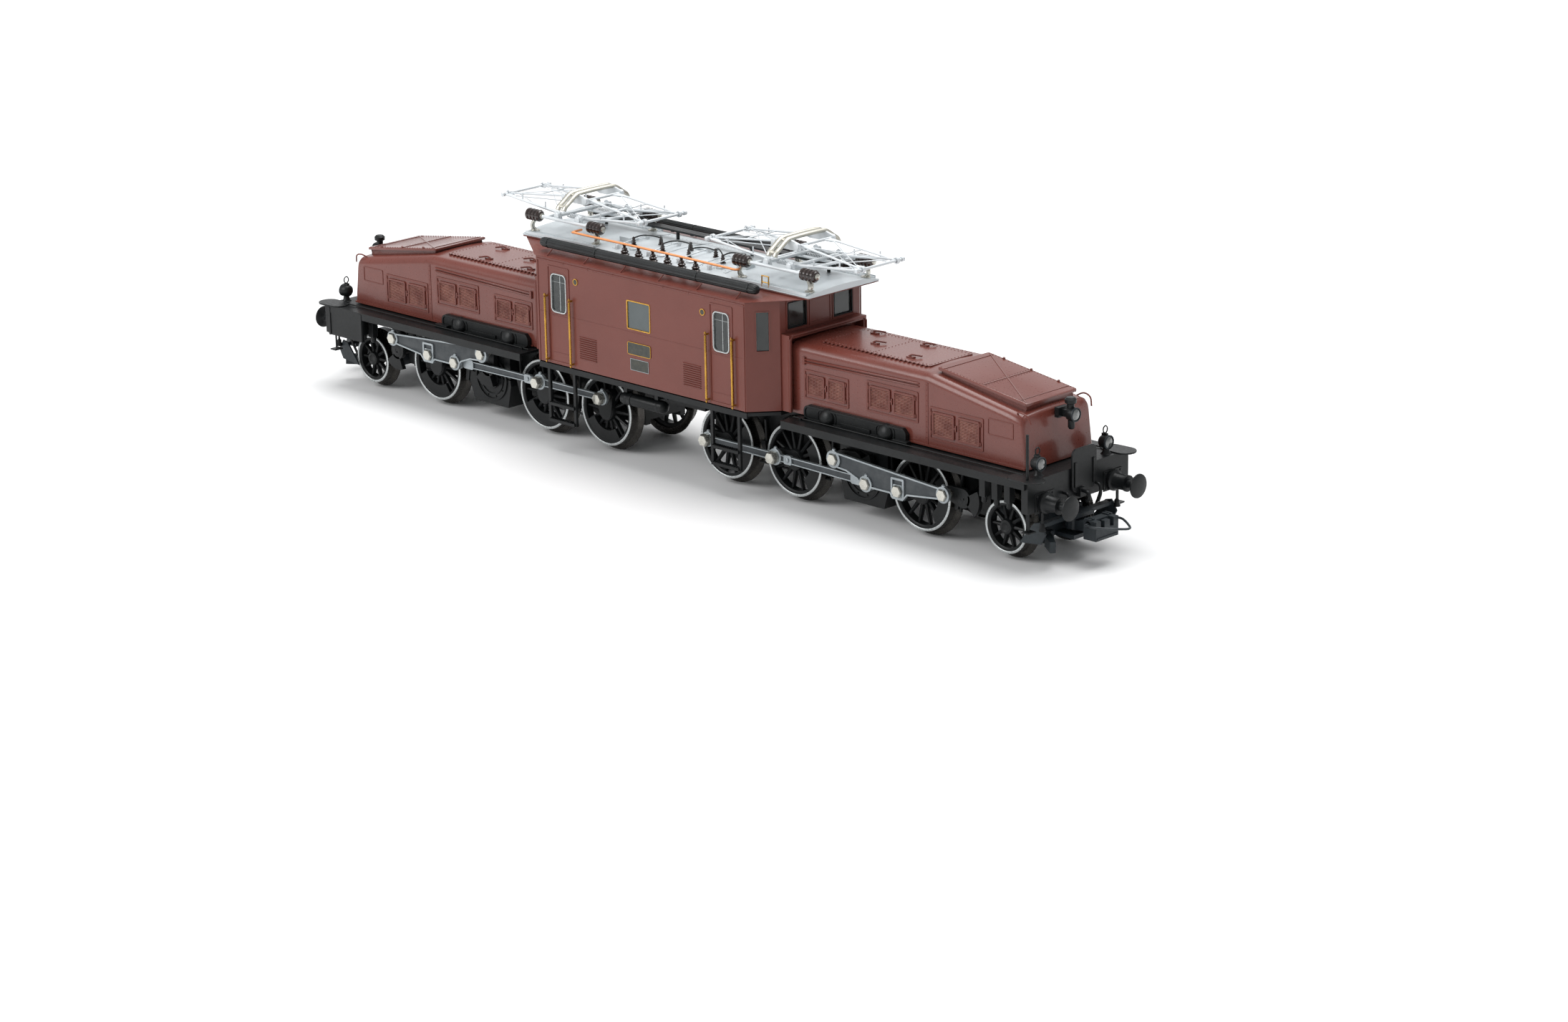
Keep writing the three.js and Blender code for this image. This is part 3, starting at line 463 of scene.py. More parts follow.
PANE_PALE = Finish("window_pane_pale", "window_glass", (0.082, 0.098, 0.1), (0.066, 0.08, 0.082),
                   (0.14, 0.22),
                   patch=5.0, grain=0.8, relief=0.001, coat=0.2, specular=0.35)
GLASS = Finish("cab_glass", "window_glass", (0.3, 0.36, 0.35), (0.22, 0.28, 0.27), (0.05, 0.1),
               patch=6.0, grain=0.8, relief=0.001, coat=0.6, alpha=0.3)
MOTOR_STEEL = Finish("motor_steel", "motor_steel", (0.2, 0.2, 0.2), (0.13, 0.13, 0.13), (0.3, 0.45),
                     0.9,
                     patch=4.0, grain=0.3, relief=0.003, run=Grain.ALONG)
BOARD = Finish("board_green", "circuit_board", (0.014, 0.07, 0.03), (0.02, 0.09, 0.045),
               (0.35, 0.5),
               patch=2.0, grain=0.5, relief=0.01)
COPPER = Finish("rotor_copper", "brass", (0.42, 0.2, 0.08), (0.3, 0.14, 0.05), (0.3, 0.45), 0.9,
                patch=1.5, grain=0.3, relief=0.004, run=Grain.ALONG)
PLATE = Finish("number_plate_blank", "frame_black", (0.02, 0.023, 0.018), (0.04, 0.04, 0.028),
               (0.32, 0.46),
               patch=0.9, grain=0.3, relief=0.006)

SLOT_FINISH = {
    "body_brown": BROWN, "window_glass": GLASS, "frame_black": BLACK, "wheel_black": WHEEL_BLACK,
    "rod_steel": SLATE, "motor_steel": MOTOR_STEEL, "brass": COPPER, "circuit_board": BOARD,
    "roof_silver": ROOF_SILVER, "roof_dark_grey": COOLER, "pantograph_silver": PANTO_SILVER,
    "collector_nickel": HEAD_NICKEL, "busbar_orange": ORANGE,
}


# ---------------------------------------------------------------- pieces
def break_edges(piece: bpy.types.Object, width: float) -> None:
    """Gives the edges sharper than BEVEL_DEGREES a narrow rounded bevel, width in millimetres."""
    edges = piece.modifiers.new("broken_edges", "BEVEL")
    edges.width = width * MM
    edges.segments = 2
    edges.limit_method = "ANGLE"
    edges.angle_limit = math.radians(BEVEL_DEGREES)
    edges.harden_normals = True


def build_piece(name: str, shells: Sequence[Shell], finish: Finish, body: str,
                replaces: Sequence[str] = (), bevel: float = 0.0) -> bpy.types.Object:
    """Joins shells into one object at the origin and ties it to a body.

    Args:
        name: the piece's name.
        shells: closed surfaces in millimetres above the rail top.
        finish: what the piece is covered with.
        body: the CAD body that it rides on.
        replaces: the CAD nodes that it stands for.
        bevel: width of the broken edges in millimetres, 0 for none.

    Returns:
        The new object.
    """
    points = np.vstack([s.points for s in shells])
    points = (points + (0.0, 0.0, FLANGE)) * MM
    starts = np.cumsum([0] + [len(s.points) for s in shells])
    faces = [tuple(i + int(start) for i in f) for s, start in zip(shells, starts) for f in s.faces]
    mesh = bpy.data.meshes.new(name)
    mesh.from_pydata(points.tolist(), [], faces)
    work = bmesh.new()
    work.from_mesh(mesh)
    bmesh.ops.recalc_face_normals(work, faces=work.faces)
    work.to_mesh(mesh)
    work.free()
    mesh.polygons.foreach_set("use_smooth", np.ones(len(mesh.polygons), bool))
    mesh.set_sharp_from_angle(angle=math.radians(SHARP_DEGREES))
    mesh.materials.append(finish.make())
    piece = bpy.data.objects.new(name, mesh)
    bpy.context.scene.collection.objects.link(piece)
    if bevel > 0.0:
        break_edges(piece, bevel)
    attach(piece, body)
    if replaces:
        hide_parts(*replaces)
    log.info("%s: %d faces on %s", name, len(mesh.polygons), body)
    return piece


@dataclass
class Cab:
    """Trim of the middle cab: windows, doors, rails, louvres, plates, glazing and collars."""

    wall: float = 17.0
    face: float = 17.16
    base: float = 18.1
    eave: float = 40.9
    window_x: float = 24.2
    window_z: float = 33.55
    middle_z: float = 32.7
    disc: tuple[float, float, float] = (18.9, 36.9, 0.62)
    rails: tuple[float, float] = (20.3, 27.8)
    rail_y: float = 17.75
    end_x: float = 35.5
    end_pane: tuple[float, float] = (6.7, 37.4)

    def build(self) -> None:
        """Makes every trim piece of the cab."""
        self._windows()
        self._panels()
        self._rails()
        self._plates()
        self._ends()
        self._air_tank()

    def _windows(self) -> None:
        """Bright rounded frames and panes of the door windows; a gilt frame in the middle."""
        frames, panes, gilt, pale = [], [], [], []
        for x in (-self.window_x, self.window_x):
            frames.append(border(rounded(x, self.window_z, 4.7, 8.45, 1.1),
                                 rounded(x, self.window_z, 4.2, 7.95, 0.9),
                                 self.wall - 0.25, self.face, Axis.Y))
            panes.append(prism(rounded(x, self.window_z, 4.3, 8.0, 0.9), self.wall - 0.5,
                               self.wall - 0.2, Axis.Y))
            frames.append(block((x + 0.25, x + 0.4), (self.wall - 0.22, self.wall - 0.1),
                                (29.7, 37.4)))
            frames.append(block((x - 2.0, x + 2.0), (self.wall - 0.22, self.wall - 0.12),
                                (35.9, 36.0)))
        gilt.append(border(rounded(0, self.middle_z, 7.0, 6.2, 0.35),
                           rounded(0, self.middle_z, 6.5, 5.7, 0.25),
                           self.wall - 0.2, self.wall + 0.1, Axis.Y))
        pale.append(prism(rounded(0, self.middle_z, 6.7, 5.9, 0.25), self.wall - 0.45,
                          self.wall - 0.12, Axis.Y))
        build_piece("door_window_frames", both(frames), RIM, "cab", bevel=0.05)
        build_piece("door_window_panes", both(panes), PANE, "cab")
        build_piece("middle_window_frames", both(gilt), BRASS, "cab", bevel=0.04)
        build_piece("middle_window_panes", both(pale), PANE_PALE, "cab")

    def _panels(self) -> None:
        """Door leaves, seams, waist line, rain bead, louvres and the clips under the cooler."""
        y0, y1 = self.wall - 0.05, self.wall + 0.1
        shells = []
        for end in (-1, 1):
            door = rounded(end * self.window_x, 28.9, 6.6, 20.8, 0.3, 3)
            shells.append(border(door, inset(door, 0.28), y0, self.wall + 0.14, Axis.Y))
            opening = rounded(end * self.window_x, self.window_z, 5.3, 9.1, 1.2)
            shells.append(border(opening, inset(opening, 0.22), y0, self.wall + 0.05, Axis.Y))
            shells.append(block((end * 30.6 - 0.2, end * 30.6 + 0.2), (y0, self.wall + 0.12),
                                (self.base, 39.9)))
            shells += [block((end * self.window_x - 3, end * self.window_x + 3),
                             (y0, self.wall + 0.06), (z, z + 0.14))
                       for z in (20.6, 28.6)]
            louvre_x = end * 15.55
            shells += [
                prism([(y0, z), (self.wall + 0.24, z + 0.02), (self.wall + 0.22, z + 0.12),
                       (y0, z + 0.24)],
                      louvre_x - 2.55, louvre_x + 2.55, Axis.X)
                for z in np.arange(20.6, 25.4, 0.46)]
        shells.append(block((-30.4, 30.4), (y0, self.wall + 0.05), (28.95, 29.1)))
        shells.append(tube([(-30.8, self.wall + 0.02, 40.25), (30.8, self.wall + 0.02, 40.25)],
                           0.16, 8))
        shells += [block((x - 0.1, x + 0.1), (self.wall - 0.05, self.wall + 0.2), (40.05, 40.45))
                   for x in (-22.5, -15.0, -7.5, 7.5, 15.0, 22.5)]
        build_piece("cab_side_panels", both(shells), BROWN, "cab", bevel=0.03)
        clips = [tube([(x, 17.02, 40.3), (x, 16.4, 41.2), (x, 15.0, 42.1)], 0.14, 6)
                 for x in np.linspace(-28.0, 28.0, 6)]
        build_piece("cooler_clips", both(clips), BROWN, "cab")
        disc_x, disc_z, disc_r = self.disc
        emblems = [lathe([(disc_r, -0.1), (disc_r, 0.08), (0.5, 0.12), (0.02, 0.12)],
                         (x, self.wall, disc_z), TO_Y,
                         24) for x in (-disc_x, disc_x)]
        build_piece("side_discs", both(emblems), PLATE, "cab")
        rings = [lathe([(0.55, 0.0), (0.72, 0.0), (0.72, 0.14), (0.55, 0.14)],
                       (x, self.wall, disc_z), TO_Y, 28,
                       closed=True) for x in (-disc_x, disc_x)]
        build_piece("side_disc_rings", both(rings), BRASS, "cab")

    def _rails(self) -> None:
        """Brass grab rails over the CAD ones, each with a stud near both ends."""
        shells = []
        for x in (-self.rails[1], -self.rails[0], self.rails[0], self.rails[1]):
            shells.append(tube([(x, self.rail_y, z) for z in (18.25, 18.5, 33.0, 33.25)],
                               np.array([0.12, 0.25, 0.25, 0.12]), 10))
            shells += [tube([(x, 16.9, z), (x, 18.02, z)], 0.235, 8) for z in (18.9, 32.6)]
        build_piece("grab_rails", both(shells), BRASS, "cab")

    def _plates(self) -> None:
        """Blank name and works plates in the middle of each side, and their rims."""
        wall = self.wall
        number = rounded(0, 25.6, 6.9, 2.7, 0.4)
        works = rounded(0, 22.2, 5.4, 2.5, 0.12)
        shells = [prism(number, wall - 0.05, wall + 0.12, Axis.Y),
                  prism(works, wall - 0.05, wall + 0.07, Axis.Y)]
        build_piece("blank_plates", both(shells), PLATE, "cab", bevel=0.03)
        build_piece("name_plate_rims",
                    both([border(number, inset(number, 0.12), wall, wall + 0.15, Axis.Y)]),
                    BRASS, "cab")
        build_piece("works_plate_rims",
                    both([border(works, inset(works, 0.1), wall, wall + 0.1, Axis.Y)]),
                    ROD, "cab")

    def _ends(self) -> None:
        """End and corner window frames, the raised collar lip round each hood, and thin strips on
        the end wall.
        """
        brown, dark, panes = [], [], []
        pane_y, pane_z = self.end_pane
        for end in (-1, 1):
            for y in (-pane_y, pane_y):
                hole = rounded(y, pane_z, 5.75, 5.75, 0.2, 3)
                depth = span(end, self.end_x - 0.05, self.end_x + 0.25)
                dark.append(border(inset(hole, 0.2), inset(hole, 0.34), *depth, Axis.X))
                brown.append(border(rounded(y, pane_z, 6.3, 6.3, 0.3, 3), hole, *depth, Axis.X))
                panes.append(prism(inset(hole, 0.25), *span(end, 35.1, 35.3), Axis.X))
            path = [(end * 37.75, y, z) for y,
                    z in ((11.1, 18.1), (11.1, 33.0), (10.4, 33.8), (-10.4, 33.8),
                                                     (-11.1, 33.0), (-11.1, 18.1))]
            brown.append(tube(path, 0.34, 8))
            brown.append(block(span(end, self.end_x, 35.72), (-3.1, 3.1), (34.8, 34.95)))
            brown += [block(span(end, self.end_x, 35.74), (y - 0.12, y + 0.12), (34.3, 40.8))
                      for y in (-3.0, 3.0)]
            along = unit((end * -4.6, 5.4, 0))
            out = unit((end * 5.4, 4.6, 0))
            for side in (-1, 1):
                centre = np.array([end * 33.3, 14.3, 34.7])
                outer = rounded(0, 0, 2.95, 8.5, 0.2, 3)
                inner = inset(outer, 0.22)
                rings = []
                for flat, lift in ((outer, -0.15), (outer, 0.12), (inner, 0.12), (inner, -0.15)):
                    rings.append(centre + flat[:, :1] * along + flat[:, 1:] * np.array([0, 0, 1])
                                 + lift * out)
                brown.append(skin(np.stack(rings) * (1, side, 1), closed=True))
                glass = [centre + inner[:, :1] * along + inner[:, 1:] * np.array([0, 0, 1])
                         + d * out
                         for d in (-0.45, -0.25)]
                panes.append(skin(np.stack(glass) * (1, side, 1)))
        build_piece("cab_end_trim", brown, BROWN, "cab")
        build_piece("end_window_frames", dark, BLACK, "cab")
        build_piece("end_window_panes", panes, PANE, "cab")

    def _air_tank(self) -> None:
        """Air reservoir: a turned drum with domed ends and two clamp bands."""
        low, high, y, z, r = -9.8, 3.5, -13.0, 12.9, 1.35
        profile = [(0.3, 0.0), (0.9, 0.18), (1.2, 0.45), (r, 0.9), (r, 3.4), (r - 0.12, 3.45),
                   (r - 0.12, 3.75),
                   (r, 3.8), (r, high - low - 0.9), (1.2, high - low - 0.45),
                   (0.9, high - low - 0.18),
                   (0.3, high - low)]
        drum = lathe(profile, (low, y, z), TO_X, 32)
        bands = [lathe([(r - 0.1, -0.3), (r + 0.02, -0.3), (r + 0.02, 0.3), (r - 0.1, 0.3)],
                       (x, y, z), TO_X, 32,
                       closed=True) for x in (-7.8, 1.5)]
        build_piece("air_drum", [drum, *bands], BLACK, "cab", replaces=["air_reservoir"])


@dataclass
class Roof:
    """Roof sheet, running boards, coolers, insulators, busbar, cable hoops and walkway."""

    half_length: float = 42.4
    half_width: float = 10.4
    low: float = 42.2
    edge: float = 42.6
    crown: float = 43.5
    bells: tuple[float, ...] = (-11.2, -7.0, -2.7, 1.6, 5.8, 9.9)
    board_y: float = 9.0
    cooler: tuple[float, float] = (14.15, 43.1)

    def height(self, y: float | Points) -> float | Points:
        """Top of the roof at y: edge + (crown - edge) * (1 - (y / half_width) ** 2)."""
        return self.edge + (self.crown - self.edge) * (1 - (np.asarray(y) / self.half_width) ** 2)

    def build(self) -> None:
        """Makes every piece of the roof."""
        self._sheet()
        self._coolers()
        self._bells_and_bar()
        self._switchgear()
        self._walkway()

    def _sheet(self) -> None:
        """The crowned plate as an arch carried along X, with boards and seams on it."""
        y = np.linspace(self.half_width, -self.half_width, 29)
        arch = np.stack([y, self.height(y)], 1)
        arch[[0, -1], 1] -= 0.15
        section = np.vstack([[(-self.half_width + 0.15, self.low)],
                             [(self.half_width - 0.15, self.low)], arch])
        shells = [prism(section, -self.half_length, self.half_length, Axis.X)]
        for end in (-1, 1):
            for side in (-1, 1):
                x = span(end, 20.5, 41.6)
                top = float(self.height(self.board_y))
                shells.append(block(x, span(side, 8.3, 9.9), (top - 0.1, top + 0.2)))
                shells.append(block(x, span(side, 9.95, 10.2), (top - 0.25, top + 0.36)))
        for x in (-16.5, 16.5, -4.0, 8.0):
            strip = np.stack([y[3:-3], self.height(y[3:-3]) + 0.12], 1)
            under = np.stack([y[3:-3], self.height(y[3:-3]) - 0.1], 1)[::-1]
            shells.append(prism(np.vstack([strip, under]), x - 0.35, x + 0.35, Axis.X))
        rows = np.vstack([line((-15.5, v, float(self.height(v)) + 0.02),
                               (15.5, v, float(self.height(v)) + 0.02), 1.1)
                          for v in (-6.9, 6.9)])
        shells.append(copies(rivet((0, 0, 1)), rows))
        build_piece("roof_sheet", shells, ROOF_SILVER, "cab", replaces=["cab_roof"], bevel=0.05)
        lining = block((-self.half_length + 0.1, self.half_length - 0.1),
                       (-self.half_width + 0.1, self.half_width - 0.1), (41.95, self.low - 0.02))
        build_piece("roof_lining", [lining], BROWN, "cab", bevel=0.05)
        treads = [copies(prism(capsule((-0.32, 0), (0.32, 0), 0.07, 0.07, 4), 0, 0.08, Axis.Z),
                         np.vstack([line((end * 21.2, side * v,
                                          float(self.height(self.board_y)) + 0.2),
                                         (end * 41.0, side * v, float(self.height(self.board_y))
                                          + 0.2), 0.95)
                                    for v in (8.6, 9.1, 9.6)])) for end in (-1, 1)
                  for side in (-1, 1)]
        build_piece("running_board_treads", treads, ROOF_SILVER, "cab")

    def _coolers(self) -> None:
        """Finned oil coolers: a fluted section carried along X and drawn in at both ends."""
        t = np.linspace(0.0, FULL_TURN, 56, endpoint=False)
        flute = 1.02 + 0.05 * np.sign(np.sin(14 * t))
        x = np.array([-32.0, -31.85, -31.4, -30.6, 30.6, 31.4, 31.85, 32.0])
        pull = np.array([0.55, 0.8, 0.95, 1.0, 1.0, 0.95, 0.8, 0.55])
        cooler_y, cooler_z = self.cooler
        for name, side in (("left", 1), ("right", -1)):
            radius = pull[:, None] * flute[None, :]
            rings = np.stack([np.broadcast_to(x[:, None], radius.shape),
                              side * cooler_y + radius * np.cos(t),
                              cooler_z + radius * np.sin(t)], -1)
            bands = [lathe([(0.9, -0.15), (1.1, -0.15), (1.1, 0.15), (0.9, 0.15)],
                           (at, side * cooler_y, cooler_z), TO_X,
                           32, closed=True) for at in (-29.8, -15.0, 15.0, 29.8)]
            build_piece(f"cooler_fins_{name}", [skin(rings), *bands], COOLER, "cab",
                        replaces=[f"oil_cooler_{name}"])

    def _bells_and_bar(self) -> None:
        """Bell insulators along the right side and the orange bar that they carry."""
        y = -9.9
        top = float(self.height(y))
        bell = lathe([(0.95, -0.1), (1.0, 0.15), (0.62, 0.5), (0.85, 0.62), (0.82, 0.8),
                      (0.5, 1.05), (0.62, 1.2),
                      (0.55, 1.38), (0.3, 1.6), (0.3, 1.95), (0.42, 2.0), (0.42, 2.2), (0.2, 2.3)],
                     (0, 0, 0), TO_Z, 20)
        build_piece("bell_insulators", [copies(bell, [(x, y, top) for x in self.bells])], INSULATOR,
                    "cab")
        path = curve([(-27.4, -7.0, 45.0), (-27.35, -8.9, 45.0), (-26.9, -9.6, 45.0),
                      (-25.8, -9.9, 45.0),
                      (-12.0, -9.95, 45.0), (4.0, -10.0, 45.0), (18.5, -10.1, 44.9),
                      (20.6, -10.1, 44.85),
                      (21.5, -9.8, 44.8), (21.8, -9.1, 44.8)], 8)
        build_piece("orange_bar", [tube(path, 0.3, 12, flat=0.8)], ORANGE, "cab",
                    replaces=["busbar"])
        ladder = [tube([(29.2 + dx, -10.1, 42.7), (29.2 + dx, -10.1, 44.9)], 0.14, 8)
                  for dx in (0.0, 1.9)]
        ladder += [tube([(29.1, -10.1, z), (31.2, -10.1, z)], 0.12, 8) for z in (43.6, 44.9)]
        build_piece("ladder_bracket", ladder, BRASS, "cab")

    def _switchgear(self) -> None:
        """Cable hoops, small bell insulators, round covers and boxes in the middle of the roof."""
        spots = [(-14.0, -4.6), (-9.5, -1.0), (-5.5, -4.4), (-1.0, -0.6), (2.5, -4.6), (7.0, -1.2),
                 (11.5, -3.6),
                 (15.0, -0.6)]
        post = lathe([(0.62, -0.1), (0.62, 0.2), (0.38, 0.3), (0.52, 0.55), (0.36, 0.75),
                      (0.48, 0.98), (0.3, 1.2),
                      (0.34, 1.6), (0.12, 1.85)], (0, 0, 0), TO_Z, 16)
        posts = [copies(post, [(x, y, float(self.height(y))) for x, y in spots])]
        hoops = []
        for (x0, y0), (x1, y1) in zip(spots[:-1], spots[1:]):
            z = 1.6 + float(self.height(y0))
            hoops.append(tube(curve([(x0, y0, z), ((2 * x0 + x1) / 3, (2 * y0 + y1) / 3, z + 0.55),
                                     ((x0 + 2 * x1) / 3, (y0 + 2 * y1) / 3, z + 0.5), (x1, y1, z)],
                                    5), 0.15, 8))
        build_piece("switch_insulators", posts, INSULATOR, "cab")
        build_piece("roof_cables", hoops, COOLER, "cab")
        covers = [lathe([(1.15, -0.3), (1.15, 0.2), (1.0, 0.34), (0.6, 0.4), (0.55, 0.3),
                         (0.02, 0.32)],
                        (x, y, float(self.height(y))), TO_Z, 28)
                  for x, y in ((-12.0, -6.3), (-3.5, -6.6), (5.0, -6.4), (13.5, -5.9), (-8.0, 2.0),
                               (9.5, 1.8))]
        boxes = [block((x - w, x + w), (y - 1.3, y + 1.3), (43.0, float(self.height(y)) + h))
                 for x, y, w, h in ((-17.6, -2.5, 1.6, 0.9), (17.8, -3.2, 1.4, 0.8),
                                    (0.8, 2.2, 2.2, 0.5))]
        build_piece("roof_covers", covers + boxes, ROOF_SILVER, "cab", bevel=0.06)
        lugs = [lathe([(0.5, -0.1), (0.5, 0.7), (0.3, 0.95), (0.02, 1.0)],
                      (x, y, float(self.height(y))), TO_Z, 14)
                for x in (-15.5, -6.0, 3.0, 12.0) for y in (-7.9, 0.8)]
        lugs += [tube([(x, -7.9, 43.6), (x + 0.2, -4.0, 44.1), (x, 0.8, 44.3)], 0.13, 6)
                 for x in (-15.5, -6.0, 3.0, 12.0)]
        build_piece("roof_leads", lugs, PANTO_SILVER, "cab")

    def _walkway(self) -> None:
        """One dark board of four narrow slats on ties and upright legs along the left of the roof.
        """
        slats = [block((-36.0, 36.0), (y, y + 0.5), (45.05, 45.5)) for y in (4.3, 4.87, 5.43, 6.0)]
        ties = [block((x - 0.4, x + 0.4), (4.3, 6.5), (44.9, 45.1))
                for x in np.linspace(-35.0, 35.0, 13)]
        legs = [tube([(x, 5.4, 43.0), (x, 5.4, 44.95)], 0.38, 8)
                for x in (-33.0, -11.0, 11.0, 33.0)]
        build_piece("walkway_boards", slats + ties + legs, COOLER, "cab", replaces=["roof_walkway"],
                    bevel=0.05)


@dataclass
class Pantograph:
    """A folding current collector about its own middle, folded down."""

    label: str
    centre: float
    base: float = 47.0
    pivot: float = 3.2
    knee: float = 21.1
    rise: float = 1.9
    beam_y: float = 8.2

    def build(self) -> None:
        """Makes the base frame, four arms and the collector head."""
        self._base()
        for end, name in ((1, "front"), (-1, "rear")):
            self._lower_arm(end, name)
            self._upper_arm(end, name)
        self._head()

    def _put(self, shells: Iterable[Shell]) -> list[Shell]:
        """Shells moved to the pantograph's place on the roof."""
        return [s.moved(self.centre) for s in shells]

    def _base(self) -> None:
        """Side beams, ties, pivot lugs, springs, and ribbed insulators on curved legs."""
        z = self.base - 0.55
        silver = []
        for side in (-1, 1):
            y = side * self.beam_y
            silver.append(tube([(-7.6, y, z), (7.6, y, z)], 0.36, 12))
            for x in (-self.pivot, self.pivot):
                silver.append(prism([(x - 1.1, z - 0.3), (x + 1.1, z - 0.3),
                                     (x + 0.75, self.base + 0.7),
                                     (x, self.base + 1.1), (x - 0.75, self.base + 0.7)],
                                    *span(side, 6.9, 7.5), Axis.Y))
                silver.append(lathe([(0.75, 0), (0.75, 0.3), (0.5, 0.4), (0.02, 0.4)],
                                    (x, side * 7.5, self.base),
                                    (0, side, 0), 18))
                silver.append(tube([(x, side * 7.0, z), (x, y, z)], 0.4, 8))
            silver.append(tube([(-6.4, side * 2.6, z), (6.4, side * 2.6, z)], 0.3, 10))
        silver += [tube([(x, -self.beam_y, z), (x, self.beam_y, z)], 0.34, 12) for x in (-6.0, 6.0)]
        turns, steps, spring_y, spring_r = 16, 9, 5.6 * 0.72, 0.42
        t = np.linspace(0.0, FULL_TURN * turns, turns * steps)
        for side in (-1, 1):
            path = np.stack([np.linspace(-3.6, 3.6, len(t)), side * spring_y + spring_r * np.cos(t),
                             z + 0.1 + spring_r * np.sin(t)], 1)
            silver.append(tube(path, 0.1, 5))
        build_piece(f"pantograph_frame_{self.label}", self._put(silver), PANTO_SILVER, "cab",
                    replaces=[f"pantograph_base_{self.label}"])
        ribs = [(0.6, -2.15), (0.95, -2.05)]
        for x in (-1.5, -0.5, 0.5, 1.5):
            ribs += [(1.0, x - 0.5), (1.28, x - 0.2), (1.28, x + 0.2), (1.0, x + 0.45)]
        ribs += [(0.95, 2.05), (0.6, 2.15)]
        caps, legs, glaze = [], [], []
        for end in (-1, 1):
            for side in (-1, 1):
                x, y = end * 9.5, side * self.beam_y
                glaze.append(lathe(ribs, (x, y, z), TO_X, 24))
                caps += [lathe([(0.62, 0), (0.62, 0.28), (0.4, 0.42), (0.02, 0.45)],
                               (x + s * 2.1, y, z), (s, 0, 0), 18)
                         for s in (-1, 1)]
                legs.append(tube(curve([(x, y, z - 1.1), (x + end * 0.5, y + side * 0.15, z - 1.9),
                                        (x + end * 0.5, y + side * 0.2, z - 2.7), (x, y, 43.1)], 5),
                                 0.42, 10, flat=1.5))
                legs.append(lathe([(1.0, -0.2), (1.0, 0.2), (0.7, 0.32), (0.02, 0.32)],
                                  (x, y, 43.0), TO_Z, 20))
        build_piece(f"pantograph_insulators_{self.label}", self._put(glaze), INSULATOR, "cab")
        build_piece(f"insulator_legs_{self.label}", self._put(caps + legs), NICKEL, "cab")

    def _lower_arm(self, end: int, name: str) -> None:
        """Tapered tubes from the base shaft to the knee tube, with gussets and cross wires."""
        knee_z = self.base + self.rise

        def at(share: float, y: float, drop: float = 0.0) -> tuple[float, float, float]:
            """A point on the arm: share 0 at the pivot and 1 at the knee."""
            x = self.pivot + share * (self.knee - self.pivot)
            return (end * x, y, self.base + self.rise * share - drop)

        radii = np.array([0.34, 0.3, 0.23])
        tubes = [tube([at(0, 5.6 * s), at(0.5, 5.9 * s), at(1, 6.2 * s)], radii, 12)
                 for s in (-1, 1)]
        tubes += [tube([at(0, -7.4), at(0, 7.4)], 0.36, 14),
                  tube([at(1, -6.8), at(1, 6.8)], 0.3, 14)]
        tubes += [lathe([(0.5, -0.35), (0.5, 0.35), (0.3, 0.48), (0.02, 0.48)],
                        (end * self.knee, s * 6.6, knee_z),
                        (0, s, 0), 18) for s in (-1, 1)]
        tubes += [tube([at(0.08, -5.4 * s), at(0.93, 6.0 * s)], 0.12, 8) for s in (-1, 1)]
        tubes += [tube([at(0.45, 5.85 * s), at(0.97, 3.2 * s)], 0.11, 8) for s in (-1, 1)]
        tubes += [tube([at(share, 5.9 * s), at(share, 5.9 * s, -1.5)], 0.16, 8)
                  for share in (0.3, 0.7) for s in (-1, 1)]
        for s in (-1, 1):
            corner = np.array([at(0.78, 6.0 * s), at(0.98, 6.1 * s), at(0.98, 4.3 * s)])
            tubes.append(skin(np.stack([corner - (0, 0, 0.1), corner + (0, 0, 0.1)])))
        build_piece(f"lower_arm_tubes_{name}_{self.label}", self._put(tubes), PANTO_SILVER,
                    f"lower_arm_{name}_{self.label}", replaces=[f"lower_arm_{name}_{self.label}"])

    def _upper_arm(self, end: int, name: str) -> None:
        """Thin tubes from the knee up to the top shaft, eyes, cross wires and gussets."""
        knee_z, top_z = self.base + self.rise, self.base + 2 * self.rise

        def at(share: float, y: float) -> tuple[float, float, float]:
            """A point on the arm: share 0 at the knee and 1 at the top shaft."""
            x = self.knee + share * (self.pivot - self.knee)
            return (end * x, y, knee_z + self.rise * share)

        radii = np.array([0.2, 0.23, 0.25])
        tubes = [tube([at(0.04, 4.95 * s), at(0.5, 4.5 * s), at(1, 4.1 * s)], radii, 12)
                 for s in (-1, 1)]
        tubes.append(tube([at(1, -5.5), at(1, 5.5)], 0.3, 14))
        eye = [(0.42, -0.3), (0.7, -0.3), (0.7, 0.3), (0.42, 0.3)]
        tubes += [lathe(eye, (end * self.knee, 5.0 * s, knee_z), TO_Y, 22, closed=True)
                  for s in (-1, 1)]
        tubes += [tube([at(0.06, -4.9 * s), at(0.95, 4.1 * s)], 0.11, 8) for s in (-1, 1)]
        tubes.append(tube([at(0.5, -4.55), at(0.5, 4.55)], 0.14, 8))
        for s in (-1, 1):
            corner = np.array([at(0.8, 4.2 * s), at(0.99, 4.1 * s), at(0.99, 2.4 * s)])
            tubes.append(skin(np.stack([corner - (0, 0, 0.1), corner + (0, 0, 0.1)])))
        build_piece(f"upper_arm_tubes_{name}_{self.label}", self._put(tubes), PANTO_SILVER,
                    f"upper_arm_{name}_{self.label}", replaces=[f"upper_arm_{name}_{self.label}"])

